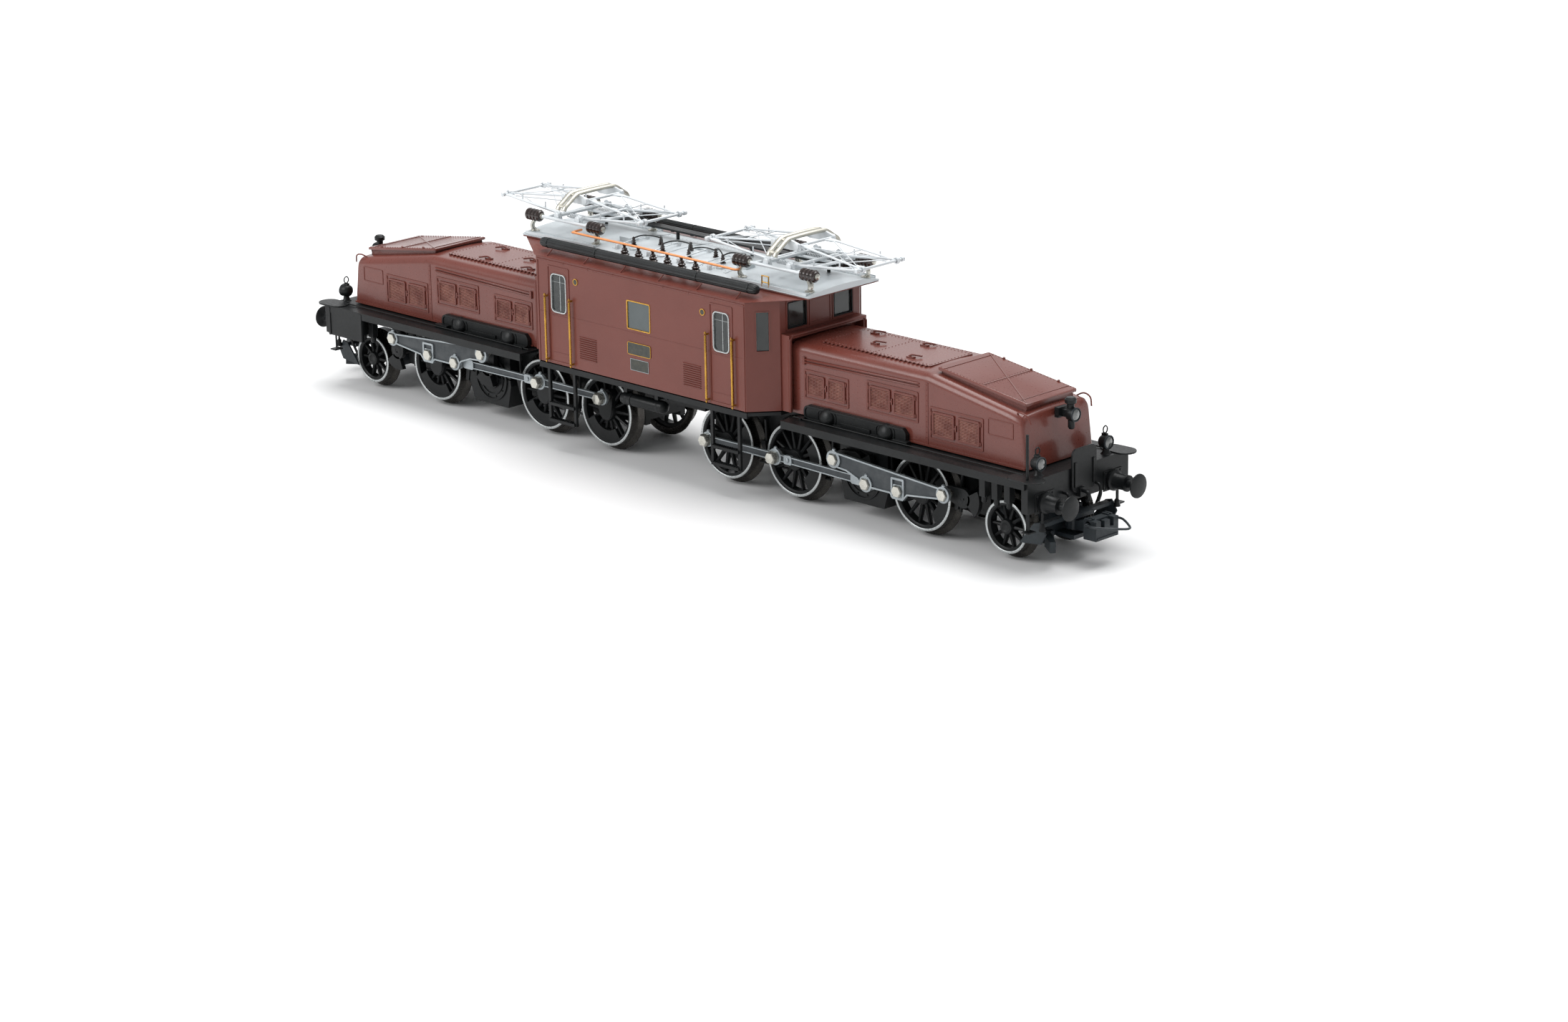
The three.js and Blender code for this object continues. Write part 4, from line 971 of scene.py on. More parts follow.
    def _head(self) -> None:
        """Two flattened bows with down-turned horns on hinge plates, joined by short ties."""
        top_z = self.base + 2 * self.rise
        shells = []
        for x in (-0.9, 0.9):
            path = curve([(x, -9.3, 49.0), (x, -8.8, 49.75), (x, -7.7, 50.5), (x, -5.8, 51.75),
                          (x, -4.4, 52.02),
                          (x, 0, 52.1), (x, 4.4, 52.02), (x, 5.8, 51.75), (x, 7.7, 50.5),
                          (x, 8.8, 49.75),
                          (x, 9.3, 49.0)], 6)
            shells.append(tube(path, 0.44, 12, flat=1.45))
        for s in (-1, 1):
            shells.append(tube([(-0.9, s * 8.9, 49.75), (0.9, s * 8.9, 49.75)], 0.3, 10))
            shells.append(tube([(-0.9, s * 5.6, 51.75), (0.9, s * 5.6, 51.75)], 0.34, 10))
        build_piece(f"collector_bows_{self.label}", self._put(shells), HEAD_NICKEL,
                    f"collector_head_{self.label}",
                    replaces=[f"collector_head_{self.label}"])
        plates = []
        for s in (-1, 1):
            outline = np.array([(-4.1, top_z - 0.6), (-3.2, top_z - 0.95), (3.2, top_z - 0.95),
                                (4.1, top_z - 0.6),
                                (4.0, top_z + 0.5), (1.5, top_z + 1.1), (-1.5, top_z + 1.1),
                                (-4.0, top_z + 0.5)])
            plates.append(prism(outline, *span(s, 4.8, 5.3), Axis.Y))
            plates += [lathe([(0.7, 0), (0.7, 0.2), (0.4, 0.3), (0.02, 0.3)], (x, s * 5.3, top_z),
                             (0, s, 0), 16)
                       for x in (-self.pivot, self.pivot)]
        build_piece(f"head_plates_{self.label}", self._put(plates), PANTO_SILVER,
                    f"collector_head_{self.label}",
                    bevel=0.05)


@dataclass
class Bogie:
    """One driving bogie with its hood, wheels, rods, shafts, pony truck and couplings."""

    label: str
    end: int
    cranks: dict[str, float]
    driver_x: tuple[float, float, float] = (72.5, 37.5, 18.13)
    driver_r: float = 7.75
    pony: tuple[float, float] = (94.64, 5.45)
    jack: tuple[float, float] = (55.0, 10.9)
    idler: tuple[float, float] = (84.5, 9.4)
    joint: tuple[float, float] = (63.8, 7.5)
    crank: float = 3.5
    hood_half: float = 9.9
    hood_top: float = 32.4
    rod_face: float = 13.4
    tank_face: float = 10.7
    buffer_y: float = 10.06
    beam_x: float = 104.5

    def build(self) -> None:
        """Makes every piece of this bogie."""
        self._hood()
        self._louvre_doors()
        self._hood_top()
        for i, x in enumerate(self.driver_x):
            self._driving_wheels(i + 1, x)
        self._pony_wheels()
        for side in (-1, 1):
            self._triangle_rod(side)
            self._coupling_rod(side)
            self._buffer(side)
        self._cranked_shafts()
        self._gearbox_ring()
        self._footplate()
        self._front()
        self._lamps()
        self._brakes()
        self._coupler()

    # -- placing
    def _put(self, shells: Iterable[Shell]) -> list[Shell]:
        """Shells as drawn at end A, turned half round for end B."""
        return [s.scaled(self.end, self.end, 1) for s in shells]

    def _make(self, name: str, shells: Iterable[Shell], finish: Finish, body: str,
              replaces: Sequence[str] = (), bevel: float = 0.0) -> None:
        """Builds a piece of this bogie; names of pieces, body and nodes get the end's label."""
        build_piece(f"{name}_{self.label}", self._put(shells), finish, f"{body}_{self.label}",
                    [f"{n}_{self.label}" for n in replaces], bevel)

    def side_name(self, side: int) -> str:
        """The locomotive's side, left or right, that the bogie's own side is on."""
        return "right" if side * self.end < 0 else "left"

    def throw(self, side: int) -> Points:
        """The crank throw of one side in the bogie's own X and Z."""
        angle = math.radians(self.cranks[self.side_name(side)])
        return self.crank * np.array([self.end * math.cos(angle), math.sin(angle)])

    # -- hood
    def _hood(self) -> None:
        """Smooth hood: a section carried along X.

        The section at x has straight sides, quarter-circle shoulders of 1.9 mm and a
        crowned top; its height is level up to the shoulder of the hood and then falls in a
        straight line to the nose. The last rings draw in by a quarter circle, so that the
        nose has a rounded edge.
        """
        half, low, shoulder, level = self.hood_half, 17.8, 1.9, self.hood_top

        def section(x_low: float, x_top: float, top: float, draw: float) -> Points:
            """One ring, `draw` smaller all round, whose x leans from x_low to x_top."""
            t = np.linspace(0.0, math.pi / 2, 8)
            y = half - draw
            arc = np.stack([y - shoulder + shoulder * np.cos(t),
                            top - draw - shoulder + shoulder * np.sin(t)], 1)
            v = np.linspace(y - shoulder, 0.0, 7)[1:]
            crown = np.stack([v, top - draw + 0.35 * (1 - (v / (y - shoulder)) ** 2)], 1)
            right = np.vstack([[(y, low)], arc, crown])
            ring = np.vstack([right, (right[:-1] * (-1, 1))[::-1]])
            share = (ring[:, 1] - low) / (top - low)
            return np.stack([x_low + (x_top - x_low) * share, ring[:, 0], ring[:, 1]], 1)

        rings = [section(37.0, 37.0, level, 0.0), section(37.3, 37.3, level, 0.0)]
        rings += [section(x, x, level, 0.0) for x in (50.0, 62.0, 73.2)]
        rings.append(section(74.0, 74.0, 32.37, 0.0))
        for x in np.linspace(75.0, 98.0, 8):
            rings.append(section(x + 0.8 * (x - 74) / 24, x, level - 4.2 * (x - 74) / 24.6, 0.0))
        for t in np.linspace(0.25, math.pi / 2, 5):
            draw = 0.7 * (1 - math.cos(t))
            out = 0.7 * math.sin(t)
            rings.append(section(99.2 + out, 97.9 + out, 28.2, draw))
        self._make("hood_shell", [skin(np.stack(rings))], BROWN_TOP, "bogie", ["hood"])

    def _louvre_doors(self) -> None:
        """Louvre door pairs, hatch, gutter beads, seam straps and the base flange."""
        y = 9.86
        shells, slats = [], []
        for x0, x1, z0, z1 in ((40.6, 52.9, 21.3, 27.5), (57.8, 71.7, 21.9, 28.3),
                               (74.7, 88.8, 19.4, 26.1)):
            mid, centre = (x0 + x1) / 2, (z0 + z1) / 2
            outer = rounded(mid, centre, x1 - x0, z1 - z0, 0.3, 3)
            shells.append(border(outer, inset(outer, 0.4), y, y + 0.2, Axis.Y))
            width = (x1 - x0) / 2 - 1.35
            for s in (-1, 1):
                at = mid + s * (width / 2 + 0.45)
                leaf = rounded(at, centre, width, z1 - z0 - 1.7, 0.35, 4)
                shells.append(border(leaf, inset(leaf, 0.36), y, y + 0.34, Axis.Y))
                slat = prism([(y, 0.0), (y + 0.27, 0.02), (y + 0.25, 0.1), (y, 0.2)],
                             at - width / 2 + 0.3, at + width / 2 - 0.3, Axis.X)
                slats.append(copies(slat, [(0, 0, z) for z in np.arange(z0 + 1.2, z1 - 1.2, 0.3)]))
                shells += [lathe([(0.16, -0.4), (0.2, -0.3), (0.2, 0.3), (0.16, 0.4)],
                                 (at + s * (width / 2 + 0.25), y + 0.2, z), TO_Z, 8)
                           for z in (z0 + 1.4, z1 - 1.4)]
            shells.append(block((mid - 0.16, mid + 0.16), (y, y + 0.4),
                                (centre - 0.6, centre + 0.6)))
            shells.append(block((mid - 0.5, mid + 0.1), (y, y + 0.32),
                                (centre - 0.14, centre + 0.14)))
        hatch = rounded(93.2, 24.9, 6.6, 3.4, 0.3, 3)
        shells.append(border(hatch, inset(hatch, 0.22), y, y + 0.14, Axis.Y))
        shells += [tube([(40.6, y, z - 0.6), (40.9, y + 0.22, z - 0.6), (71.5, y + 0.22, z),
                         (71.9, y, z)], 0.2, 8)
                   for z in (29.5, 30.1)]
        shells.append(block((40.4, 41.0), (y - 0.1, y + 0.42), (28.4, 30.0)))
        shells.append(block((73.6, 74.3), (y, y + 0.12), (17.9, 30.6)))
        shells.append(block((40.6, 99.6), (y, y + 0.3), (17.8, 18.15)))
        row = np.vstack([line((71.0, y, 19.0), (73.0, y, 19.0), 1.0),
                         line((75.2, y, 18.75), (98.6, y, 18.75), 1.4),
                         line((73.95, y + 0.12, 19.5), (73.95, y + 0.12, 30.2), 1.1),
                         line((98.9, y, 19.4), (97.6, y, 26.3), 1.2),
                         line((55.3, y, 21.4), (55.3, y, 29.0), 1.3)])
        shells.append(copies(rivet((0, 1, 0), 0.11, 0.07), row))
        self._make("hood_doors", both(shells), BROWN, "bogie", bevel=0.03)
        # The slats take the lighter brown: dust and wear, with a painted highlight on each slat.
        self._make("hood_louvres", both(slats), BROWN_SLAT_DUST_AND_HIGHLIGHT, "bogie")

    def _hood_top(self) -> None:
        """Riveted top panel with levers, the sloping nose lid, its seams and grab wire."""
        top = 32.72
        panel = rounded(56.8, 0.0, 29.6, 12.6, 0.3, 3)
        shells = [prism(panel, 32.3, top + 0.12, Axis.Z)]
        rows = np.vstack([line((42.6, v, top + 0.12), (71.0, v, top + 0.12), 0.95)
                          for v in (-5.7, 5.7)]
                         + [line((x, -5.3, top + 0.12), (x, 5.3, top + 0.12), 0.95)
                            for x in (42.5, 56.0, 71.1)])
        shells.append(copies(rivet((0, 0, 1), 0.15, 0.1), rows))
        teeth = block((-0.24, 0.24), (-0.22, 0.22), (-0.1, 0.16))
        shells.append(copies(teeth,
                             np.vstack([line((43.0, v, top), (70.6, v, top), 1.15)
                                        for v in (-6.5, 6.5)])))
        for x, v in ((46.5, 4.6), (52.0, -1.2), (60.5, 4.2), (64.5, -4.2)):
            shells.append(block((x - 0.9, x + 0.9), (v - 0.45, v + 0.45), (top, top + 0.4)))
            shells.append(tube(curve([(x - 0.6, v, top + 0.3), (x + 0.2, v + 0.3, top + 0.7),
                                      (x + 1.9, v + 1.3, top + 0.5)],
                                     4), 0.2, 8))
        self._make("hood_top_panel", shells, BROWN_TOP, "bogie", bevel=0.04)
        self._lid()

    def _lid(self) -> None:
        """Nose lid: a tilted plate with a cross seam, a diagonal seam and rivet rows on it."""
        x0, x1, z0, z1, half = 74.6, 97.7, 33.5, 30.2, 7.5
        slope = (z1 - z0) / (x1 - x0)

        def on(x: float | Points, y: float | Points, lift: float = 0.0) -> Points:
            """A point of the lid's top at x and y, lifted square to it."""
            x, y = np.broadcast_arrays(np.asarray(x, float), np.asarray(y, float))
            return np.stack([x, y, z0 + slope * (x - x0) + lift], -1)

        plan = rounded((x0 + x1) / 2, 0.0, x1 - x0, 2 * half, 0.5, 4)
        plate = np.stack([on(plan[:, 0], plan[:, 1], -0.55), on(plan[:, 0], plan[:, 1], -0.12),
                          on(*inset(plan, 0.14).T, 0.0)])
        shells = [skin(plate)]
        skirt_plan = inset(plan, 0.7)
        bottom = on(skirt_plan[:, 0], skirt_plan[:, 1], -0.5)
        bottom[:, 2] = np.where(skirt_plan[:, 0] < 80, 31.6, 27.6)
        shells.append(skin(np.stack([bottom, on(skirt_plan[:, 0], skirt_plan[:, 1], -0.5)])))
        mid = (x0 + x1) / 2
        for start, stop, width in (((mid, -7.1), (mid, 7.1), 0.34),
                                   ((x0 + 0.7, 7.0), (x1 - 0.7, -7.0), 0.24),
                                   ((x0 + 1.6, -7.1), (x0 + 1.6, 7.1), 0.18),
                                   ((x1 - 1.9, -7.1), (x1 - 1.9, 7.1), 0.18)):
            a, b = np.array(start, float), np.array(stop, float)
            across = unit((b - a)[::-1] * (-1, 1)) * width / 2
            corner = np.array([a + across, b + across, b - across, a - across])
            shells.append(skin(np.stack([on(corner[:, 0], corner[:, 1], -0.08),
                                         on(corner[:, 0], corner[:, 1], 0.1)])))
        heads = np.vstack([line(on(mid + d, -6.8), on(mid + d, 6.8), 0.8) for d in (-0.5, 0.5)]
                          + [line(on(x0 + 0.6, v), on(x1 - 0.6, v), 0.85) for v in (-7.05, 7.05)])
        shells.append(copies(rivet((0, 0, 1), 0.13, 0.09), heads))
        shells += [lathe([(0.28, 0), (0.28, 0.3), (0.15, 0.42)], on(x, 7.15, -0.05), TO_Z, 10)
                   for x in (79.0, 86.1, 93.2)]
        self._make("nose_lid", shells, BROWN_TOP, "bogie")
        wire = [tube(curve([(95.8, s * 8.3, 27.9), (97.6, s * 9.35, 28.9), (99.4, s * 9.3, 28.4),
                            (100.1, s * 8.9, 26.8)], 6),
                     0.17, 8) for s in (-1, 1)]
        self._make("nose_grab_wires", wire, BROWN, "bogie")

    # -- wheels
    def _wheel(self, side: int, tread: float, hub: float, spokes: int,
               hub_face: float) -> list[Shell]:
        """Wheel centre about the origin: inner rim, spokes that taper outwards, and hub."""
        rim = [(tread - 1.25, side * 7.9), (tread - 0.85, side * 7.7), (tread - 0.3, side * 7.7),
               (tread - 0.3, side * 9.9), (tread - 1.0, side * 9.9), (tread - 1.25, side * 9.7)]
        shells = [lathe(rim, (0, 0, 0), TO_Y, 64, closed=True)]
        shells.append(lathe([(hub - 0.3, side * 7.2), (hub, side * 7.5),
                             (hub, side * (hub_face - 0.5)),
                             (hub - 0.2, side * (hub_face - 0.1)), (hub * 0.6, side * hub_face),
                             (hub * 0.45, side * (hub_face - 0.15)),
                             (0.02, side * (hub_face - 0.15))],
                            (0, 0, 0), TO_Y, 28))
        reach = np.array([hub - 0.4, (hub + tread) / 2, tread - 1.0])
        width, depth = np.array([0.5, 0.34, 0.3]), np.array([0.75, 0.6, 0.5])
        t = np.linspace(0.0, FULL_TURN, 8, endpoint=False)
        spoke = np.stack([np.broadcast_to(reach[:, None], (3, 8)),
                          side * 8.85 + depth[:, None] * np.cos(t),
                          width[:, None] * np.sin(t)], -1)
        shells.append(spun(skin(spoke), np.arange(spokes) * FULL_TURN / spokes))
        return shells

    def _tyre(self, side: int, tread: float) -> tuple[Shell, Shell]:
        """Flanged steel tyre, and the bright ring on its outer face."""
        tyre = [(tread - 0.35, side * 7.2), (tread + 0.7, side * 7.15), (tread + 1.12, side * 7.3),
                (tread + 1.18, side * 7.5), (tread + 0.95, side * 7.75), (tread + 0.2, side * 7.95),
                (tread, side * 8.2), (tread - 0.06, side * 9.85), (tread - 0.15, side * 9.95),
                (tread - 0.35, side * 9.95)]
        ring = [(tread - 0.62, side * 9.85), (tread - 0.62, side * 10.0),
                (tread - 0.52, side * 10.06),
                (tread - 0.22, side * 10.06), (tread - 0.1, side * 9.98),
                (tread - 0.1, side * 9.85)]
        return (lathe(tyre, (0, 0, 0), TO_Y, 72, closed=True),
                lathe(ring, (0, 0, 0), TO_Y, 72, closed=True))

    def _hex_head(self, x: float, z: float, side: int, start: float) -> list[Shell]:
        """Pin with a six-sided head whose face is turned to a slight dome."""
        pin = lathe([(0.8, side * (start - 2.4)), (0.8, side * (start + 0.1))], (x, 0, z), TO_Y, 16)
        head = lathe([(1.2, side * start), (1.36, side * (start + 0.1)), (1.36, side * 13.6),
                      (1.15, side * 13.86), (0.02, side * 13.92)], (x, 0, z), TO_Y, 6)
        return [pin, head]

    def _crank_boss(self, side: int, low: float, high: float, r_hub: float, r_pin: float) -> Shell:
        """Web from the hub to the crank pin."""
        dx, dz = self.throw(side)
        return prism(capsule((0, 0), (dx, dz), r_hub, r_pin), *span(side, low, high), Axis.Y)

    def _driving_wheels(self, number: int, x: float) -> None:
        """Spoked wheels with crank bosses and counterweights, tyres, bright rings and pins."""
        z = self.driver_r
        black, steel, bright, pins = [], [], [], []
        for side in (-1, 1):
            dx, dz = self.throw(side)
            away = math.atan2(-dz, -dx)
            t = np.linspace(away - 0.85, away + 0.85, 14)
            arc = np.stack([np.cos(t), np.sin(t)], 1)
            weight = np.vstack([arc * (z - 1.0), (arc * (z - 3.4))[::-1]])
            black += self._wheel(side, z, 2.3, 14, 10.3)
            black.append(prism(weight, *span(side, 8.1, 9.85), Axis.Y))
            black.append(self._crank_boss(side, 8.6, 10.35, 1.9, 1.45))
            tyre, ring = self._tyre(side, z)
            steel.append(tyre)
            bright.append(ring)
            pins += self._hex_head(dx, dz, side, self.rod_face if number == 1 else 12.3)
        black.append(lathe([(1.5, -7.4), (1.5, 7.4)], (0, 0, 0), TO_Y, 24))
        body = f"driving_wheelset_{number}"
        for name, shells, finish, gone in ((f"driving_wheels_{number}", black, WHEEL_BLACK, [body]),
                                           (f"driving_tyres_{number}", steel, TYRE, ()),
                                           (f"driving_rings_{number}", bright, RIM, ()),
                                           (f"crank_pins_{number}", pins, NICKEL, ())):
            self._make(name, [s.moved(x, 0, z) for s in shells], finish, body, gone)

    def _pony_wheels(self) -> None:
        """Small spoked wheels on their axle."""
        x, r = self.pony
        black, steel, bright = [], [], []
        for side in (-1, 1):
            black += self._wheel(side, r, 1.6, 10, 10.2)
            tyre, ring = self._tyre(side, r)
            steel.append(tyre)
            bright.append(ring)
        black.append(lathe([(1.0, -7.4), (1.0, 7.4)], (0, 0, 0), TO_Y, 20))
        for name, shells, finish, gone in (("pony_wheels", black, WHEEL_BLACK, ["pony_wheelset"]),
                                           ("pony_tyres", steel, TYRE, ()),
                                           ("pony_rings", bright, RIM, ())):
            self._make(name, [s.moved(x, 0, r) for s in shells], finish, "pony_wheelset", gone)

    # -- rods
    def _rod_pieces(self, name: str, side: int, raised: list[Shell], webs: list[Shell],
                    heads: list[Shell],
                    replaces: Sequence[str]) -> None:
        """Moves the parts of a rod by the crank throw and builds them."""
        dx, dz = self.throw(side)
        label = self.side_name(side)
        body = f"rods_{label}_{self.label}"
        for suffix, shells, finish, gone, bevel in (("rims", raised, ROD, replaces, 0.05),
                                                    ("webs", webs, ROD_WEB, (), 0.0),
                                                    ("heads", heads, NICKEL, (), 0.0)):
            if shells:
                build_piece(f"{name}_{suffix}_{label}_{self.label}",
                            self._put([s.moved(dx, 0, dz) for s in shells]),
                            finish, body, gone, bevel)

    def _eye(self, x: float, z: float, radius: float, side: int, low: float,
             high: float) -> list[Shell]:
        """Round rod end with a small oil cup on top."""
        ring = lathe([(0.95, side * low), (radius, side * low), (radius, side * high),
                      (radius - 0.25, side * (high + 0.08)),
                      (0.95, side * (high + 0.08))], (x, 0, z), TO_Y, 32, closed=True)
        cup = lathe([(0.42, -0.5), (0.42, 0.25), (0.2, 0.45)],
                    (x, side * (low + high) / 2, z + radius), TO_Z, 12)
        return [ring, cup]

    def _triangle_rod(self, side: int) -> None:
        """Jackshaft rod: a webbed plate with a raised rim, slot frame, block and three eyes."""
        low, high = 12.6, 13.3
        outline = np.array([(54.9, 9.4), (58.6, 9.1), (61.6, 8.0), (63.2, 6.4), (65, 6.9),
                            (70.4, 6.9), (71.1, 6.0),
                            (73.9, 6.0), (75.1, 7.3), (83.8, 8.3), (84.4, 10.6), (55.4, 12.5)])
        raised = [border(outline, inset(outline, 0.34), *span(side, low, high), Axis.Y)]
        slot = rounded(self.driver_x[0], 8.3, 3.5, 4.3, 0.3, 3)
        raised.append(border(slot, inset(slot, 0.45), *span(side, low, high + 0.05), Axis.Y))
        raised.append(prism(rounded(self.driver_x[0], self.driver_r, 2.35, 2.7, 0.2, 3),
                            *span(side, low, high), Axis.Y))
        for (x, z), r in ((self.jack, 1.85), (self.idler, 1.7), (self.joint, 1.7)):
            raised += self._eye(x, z, r, side, low, high)
        webs = [prism(inset(outline, 0.2), *span(side, low + 0.15, high - 0.3), Axis.Y)]
        heads = self._hex_head(*self.joint, side, self.rod_face)
        label = self.side_name(side)
        self._rod_pieces("triangle_rod", side, raised, webs, heads,
                         [f"triangle_rod_{label}_{self.label}"])

    def _coupling_rod(self, side: int) -> None:
        """Coupling rod of two fluted beams, with a forked block beside the triangle rod."""
        low, high = 11.5, 12.2
        pins = [(self.driver_x[2], self.driver_r), (self.driver_x[1], self.driver_r), self.joint]
        raised, webs = [], []
        for (x0, z0), (x1, z1) in zip(pins[:-1], pins[1:]):
            beam = np.array([(x0 + 1.1, z0 - 0.72), (x1 - 1.1, z1 - 0.82), (x1 - 1.1, z1 + 0.82),
                             (x0 + 1.1, z0 + 0.72)])
            raised.append(border(beam, inset(beam, 0.24), *span(side, low, high), Axis.Y))
            webs.append(prism(inset(beam, 0.12), *span(side, low + 0.12, high - 0.25), Axis.Y))
        for (x, z), r in zip(pins, (1.6, 1.75, 1.6)):
            raised += self._eye(x, z, r, side, low, high)
        raised.append(prism(rounded(41.2, self.driver_r - 0.02, 2.2, 1.9, 0.4),
                            *span(side, low, high + 0.1), Axis.Y))
        raised.append(prism(rounded(60.4, 7.55, 3.2, 2.2, 0.5), *span(side, low, high + 0.1),
                            Axis.Y))
        raised.append(lathe([(0.5, side * low), (0.5, side * (high + 0.3)),
                             (0.3, side * (high + 0.4))],
                            (41.2, 0, self.driver_r), TO_Y, 14))
        label = self.side_name(side)
        self._rod_pieces("coupling_rod", side, raised, webs, [],
                         [f"coupling_rod_{label}_{self.label}"])

    def _cranked_shafts(self) -> None:
        """Jackshaft and support shaft: webs with a fan-shaped weight, bosses and bright pins."""
        for body, (x, z), shaft, (low, high), hub, weight in (
                ("jackshaft", self.jack, 1.5, (9.5, 10.8), 2.2, 4.6),
                ("idler_shaft", self.idler, 1.2, (10.3, 11.3), 2.0, 4.4)):
            heads, webs = [], [lathe([(shaft, -low - 0.1), (shaft, low + 0.1)], (0, 0, 0), TO_Y,
                                     24)]
            for side in (-1, 1):
                dx, dz = self.throw(side)
                t = math.atan2(-dz, -dx) + np.linspace(-0.66, 0.66, 12)
                fan = np.vstack([[(0.0, 0.0)], weight * np.stack([np.cos(t), np.sin(t)], 1)])
                reach = span(side, low, high)
                webs += [prism(fan, *reach, Axis.Y), self._crank_boss(side, low, high, hub, 1.45)]
                webs.append(lathe([(hub, side * low), (hub, side * (high - 0.1)),
                                   (1.2, side * (high + 0.05)),
                                   (0.5, side * (high + 0.05)), (0.4, side * (high - 0.15)),
                                   (0.02, side * (high - 0.15))], (0, 0, 0), TO_Y, 28))
                heads += self._hex_head(dx, dz, side, self.rod_face)
            self._make(f"{body}_heads", [s.moved(x, 0, z) for s in heads], NICKEL, body)
            self._make(f"{body}_webs", [s.moved(x, 0, z) for s in webs], WHEEL_BLACK, body, [body],
                       bevel=0.06)

    # -- frame
    def _gearbox_ring(self) -> None:
        """Concentric rings round the jackshaft on both faces of the bearing block."""
        x, z = self.jack
        shells = []
        for side in (-1, 1):
            for inner, outer, lift in ((4.6, 5.1, 0.3), (3.5, 3.8, 0.22), (0.02, 2.4, 0.4)):
                shells.append(lathe([(inner, side * 8.9), (outer, side * 8.9),
                                     (outer, side * (9.0 + lift)),
                                     (inner, side * (9.0 + lift))], (x + 0.6, 0, z - 2.9), TO_Y, 48,
                                    closed=True))
            bolts = np.linspace(0, FULL_TURN, 10, endpoint=False)
            spots = np.stack([x + 0.6 + 4.2 * np.cos(bolts), np.full(10, side * 9.0),
                              z - 2.9 + 4.2 * np.sin(bolts)], 1)
            shells.append(copies(rivet((0, side, 0), 0.22, 0.2), spots))
        self._make("gearbox_rings", shells, WHEEL_BLACK, "bogie")

    def _footplate(self) -> None:
        """Tank casing domes and lids, valance ribs, sand boxes and pipes under the plate."""
        shells = []
        for x in (47.6, 63.6):
            shells.append(lathe([(1.9, -0.8), (1.9, 0.1), (1.75, 0.55), (1.3, 0.95), (0.7, 1.15),
                                 (0.02, 1.2)],
                                (x, self.tank_face, 18.75), (0, 0.93, 0.36), 32))
            shells.append(border(rounded(x, 18.7, 5.2, 2.9, 1.1), rounded(x, 18.7, 4.7, 2.4, 0.9),
                                 self.tank_face, self.tank_face + 0.25, Axis.Y))
        shells.append(border(rounded(55.25, 18.85, 28.0, 3.0, 1.2),
                             rounded(55.25, 18.85, 27.2, 2.2, 0.9), self.tank_face,
                             self.tank_face + 0.3,
                             Axis.Y))
        shells += [block((51.6, 59.6), (self.tank_face, self.tank_face + 0.4), (17.6, 18.5)),
                   block((41.4, 42.0), (self.tank_face, 12.6), (17.4, 17.9)),
                   block((66.6, 70.4), (self.tank_face, 12.0), (17.4, 18.2))]
        shells.append(tube([(39.6, 12.2, 17.75), (101.0, 12.2, 17.75)], 0.16, 8))
        for x in (91.2, 94.4, 97.6):
            shells.append(block((x - 0.75, x + 0.75), (11.6, 13.1), (11.6, 17.1)))
            shells.append(lathe([(0.6, 0), (0.6, 1.2), (0.4, 1.5), (0.02, 1.5)], (x, 12.35, 11.8),
                                (0, 0, -1), 14))
        shells.append(block((90.4, 101.4), (11.9, 12.9), (14.9, 15.8)))
        shells.append(tube(curve([(100.9, 11.8, 16.5), (101.1, 11.6, 12.0), (100.7, 10.6, 8.2),
                                  (99.7, 9.6, 4.6)], 6),
                           0.3, 8))
        self._make("footplate_gear", both(shells), BLACK, "bogie", bevel=0.05)

    def _front(self) -> None:
        """Buffer beam plates, coupling hook, hoses, steps, the raised crossing plate and rails."""
        face = self.beam_x
        shells = [block((face - 0.1, face + 0.18), (y - 2.7, y + 2.7), (10.6, 14.6))
                  for y in (-self.buffer_y, self.buffer_y)]
        lifted = rounded(1.1, 16.9, 7.2, 8.8, 1.4)
        shells += [prism(lifted, face + 0.15, face + 0.55, Axis.X),
                   block((face, face + 0.8), (-1.9, -1.3), (13.6, 18.6)),
                   block((face, face + 0.8), (3.5, 4.1), (13.6, 18.6))]
        shells += [prism(capsule((101.2, y), (104.6, y), 2.2, 2.4), 17.4, 17.75, Axis.Z)
                   for y in (-13.6, 13.6)]
        shells.append(block((91.4, 103.2), (14.75, 15.3), (10.8, 17.2)))
        shells += [block((x - 0.3, x + 0.3), (15.2, 15.5), (10.8, 17.2)) for x in (91.8, 102.6)]
        shells += [block((face, face + 1.1), (-0.7, 0.7), (11.6, 13.4)),
                   tube(curve([(face + 0.9, 0, 12.8), (face + 2.4, 0, 12.6), (face + 2.7, 0, 11.5),
                               (face + 2.0, 0, 10.9)], 5),
                        0.38, 8)]
        for y in (-11.05, 11.05):
            shells.append(tube([(face + 0.4, y, 11.4), (face + 0.4, y, 7.9)], 0.24, 8))
            shells.append(lathe([(0.3, -0.3), (0.5, 0.0), (0.5, 0.5), (0.72, 1.0), (0.72, 1.25),
                                 (0.02, 1.3)],
                                (face + 0.4, y, 8.2), (0, 0, -1), 14))
            shells.append(tube(curve([(face, y * 0.42, 13.2), (face + 1.3, y * 0.42, 13.0),
                                      (face + 1.7, y * 0.42, 11.4),
                                      (face + 1.1, y * 0.42, 9.6)], 6), 0.3, 8))
        for y in (-13.2, 13.2):
            shells.append(tube([(face - 1.2, y, 11.2), (face - 1.2, y, 7.2)], 0.22, 8))
            shells.append(block((face - 2.1, face - 0.3), (y - 1.1, y + 1.1), (6.8, 7.1)))
        shells.append(tube([(103.8, -14.2, 10.8), (103.8, -14.2, 26.7)], 0.3, 10))
        rivets = [(face + 0.18, y + a, 12.6 + b) for y in (-self.buffer_y, self.buffer_y)
                  for a in (-2.2, 2.2) for b in (-1.5, 1.5)]
        shells.append(copies(rivet((1, 0, 0), 0.24, 0.16), rivets))
        self._make("buffer_beam_gear", shells, BLACK, "bogie", bevel=0.05)
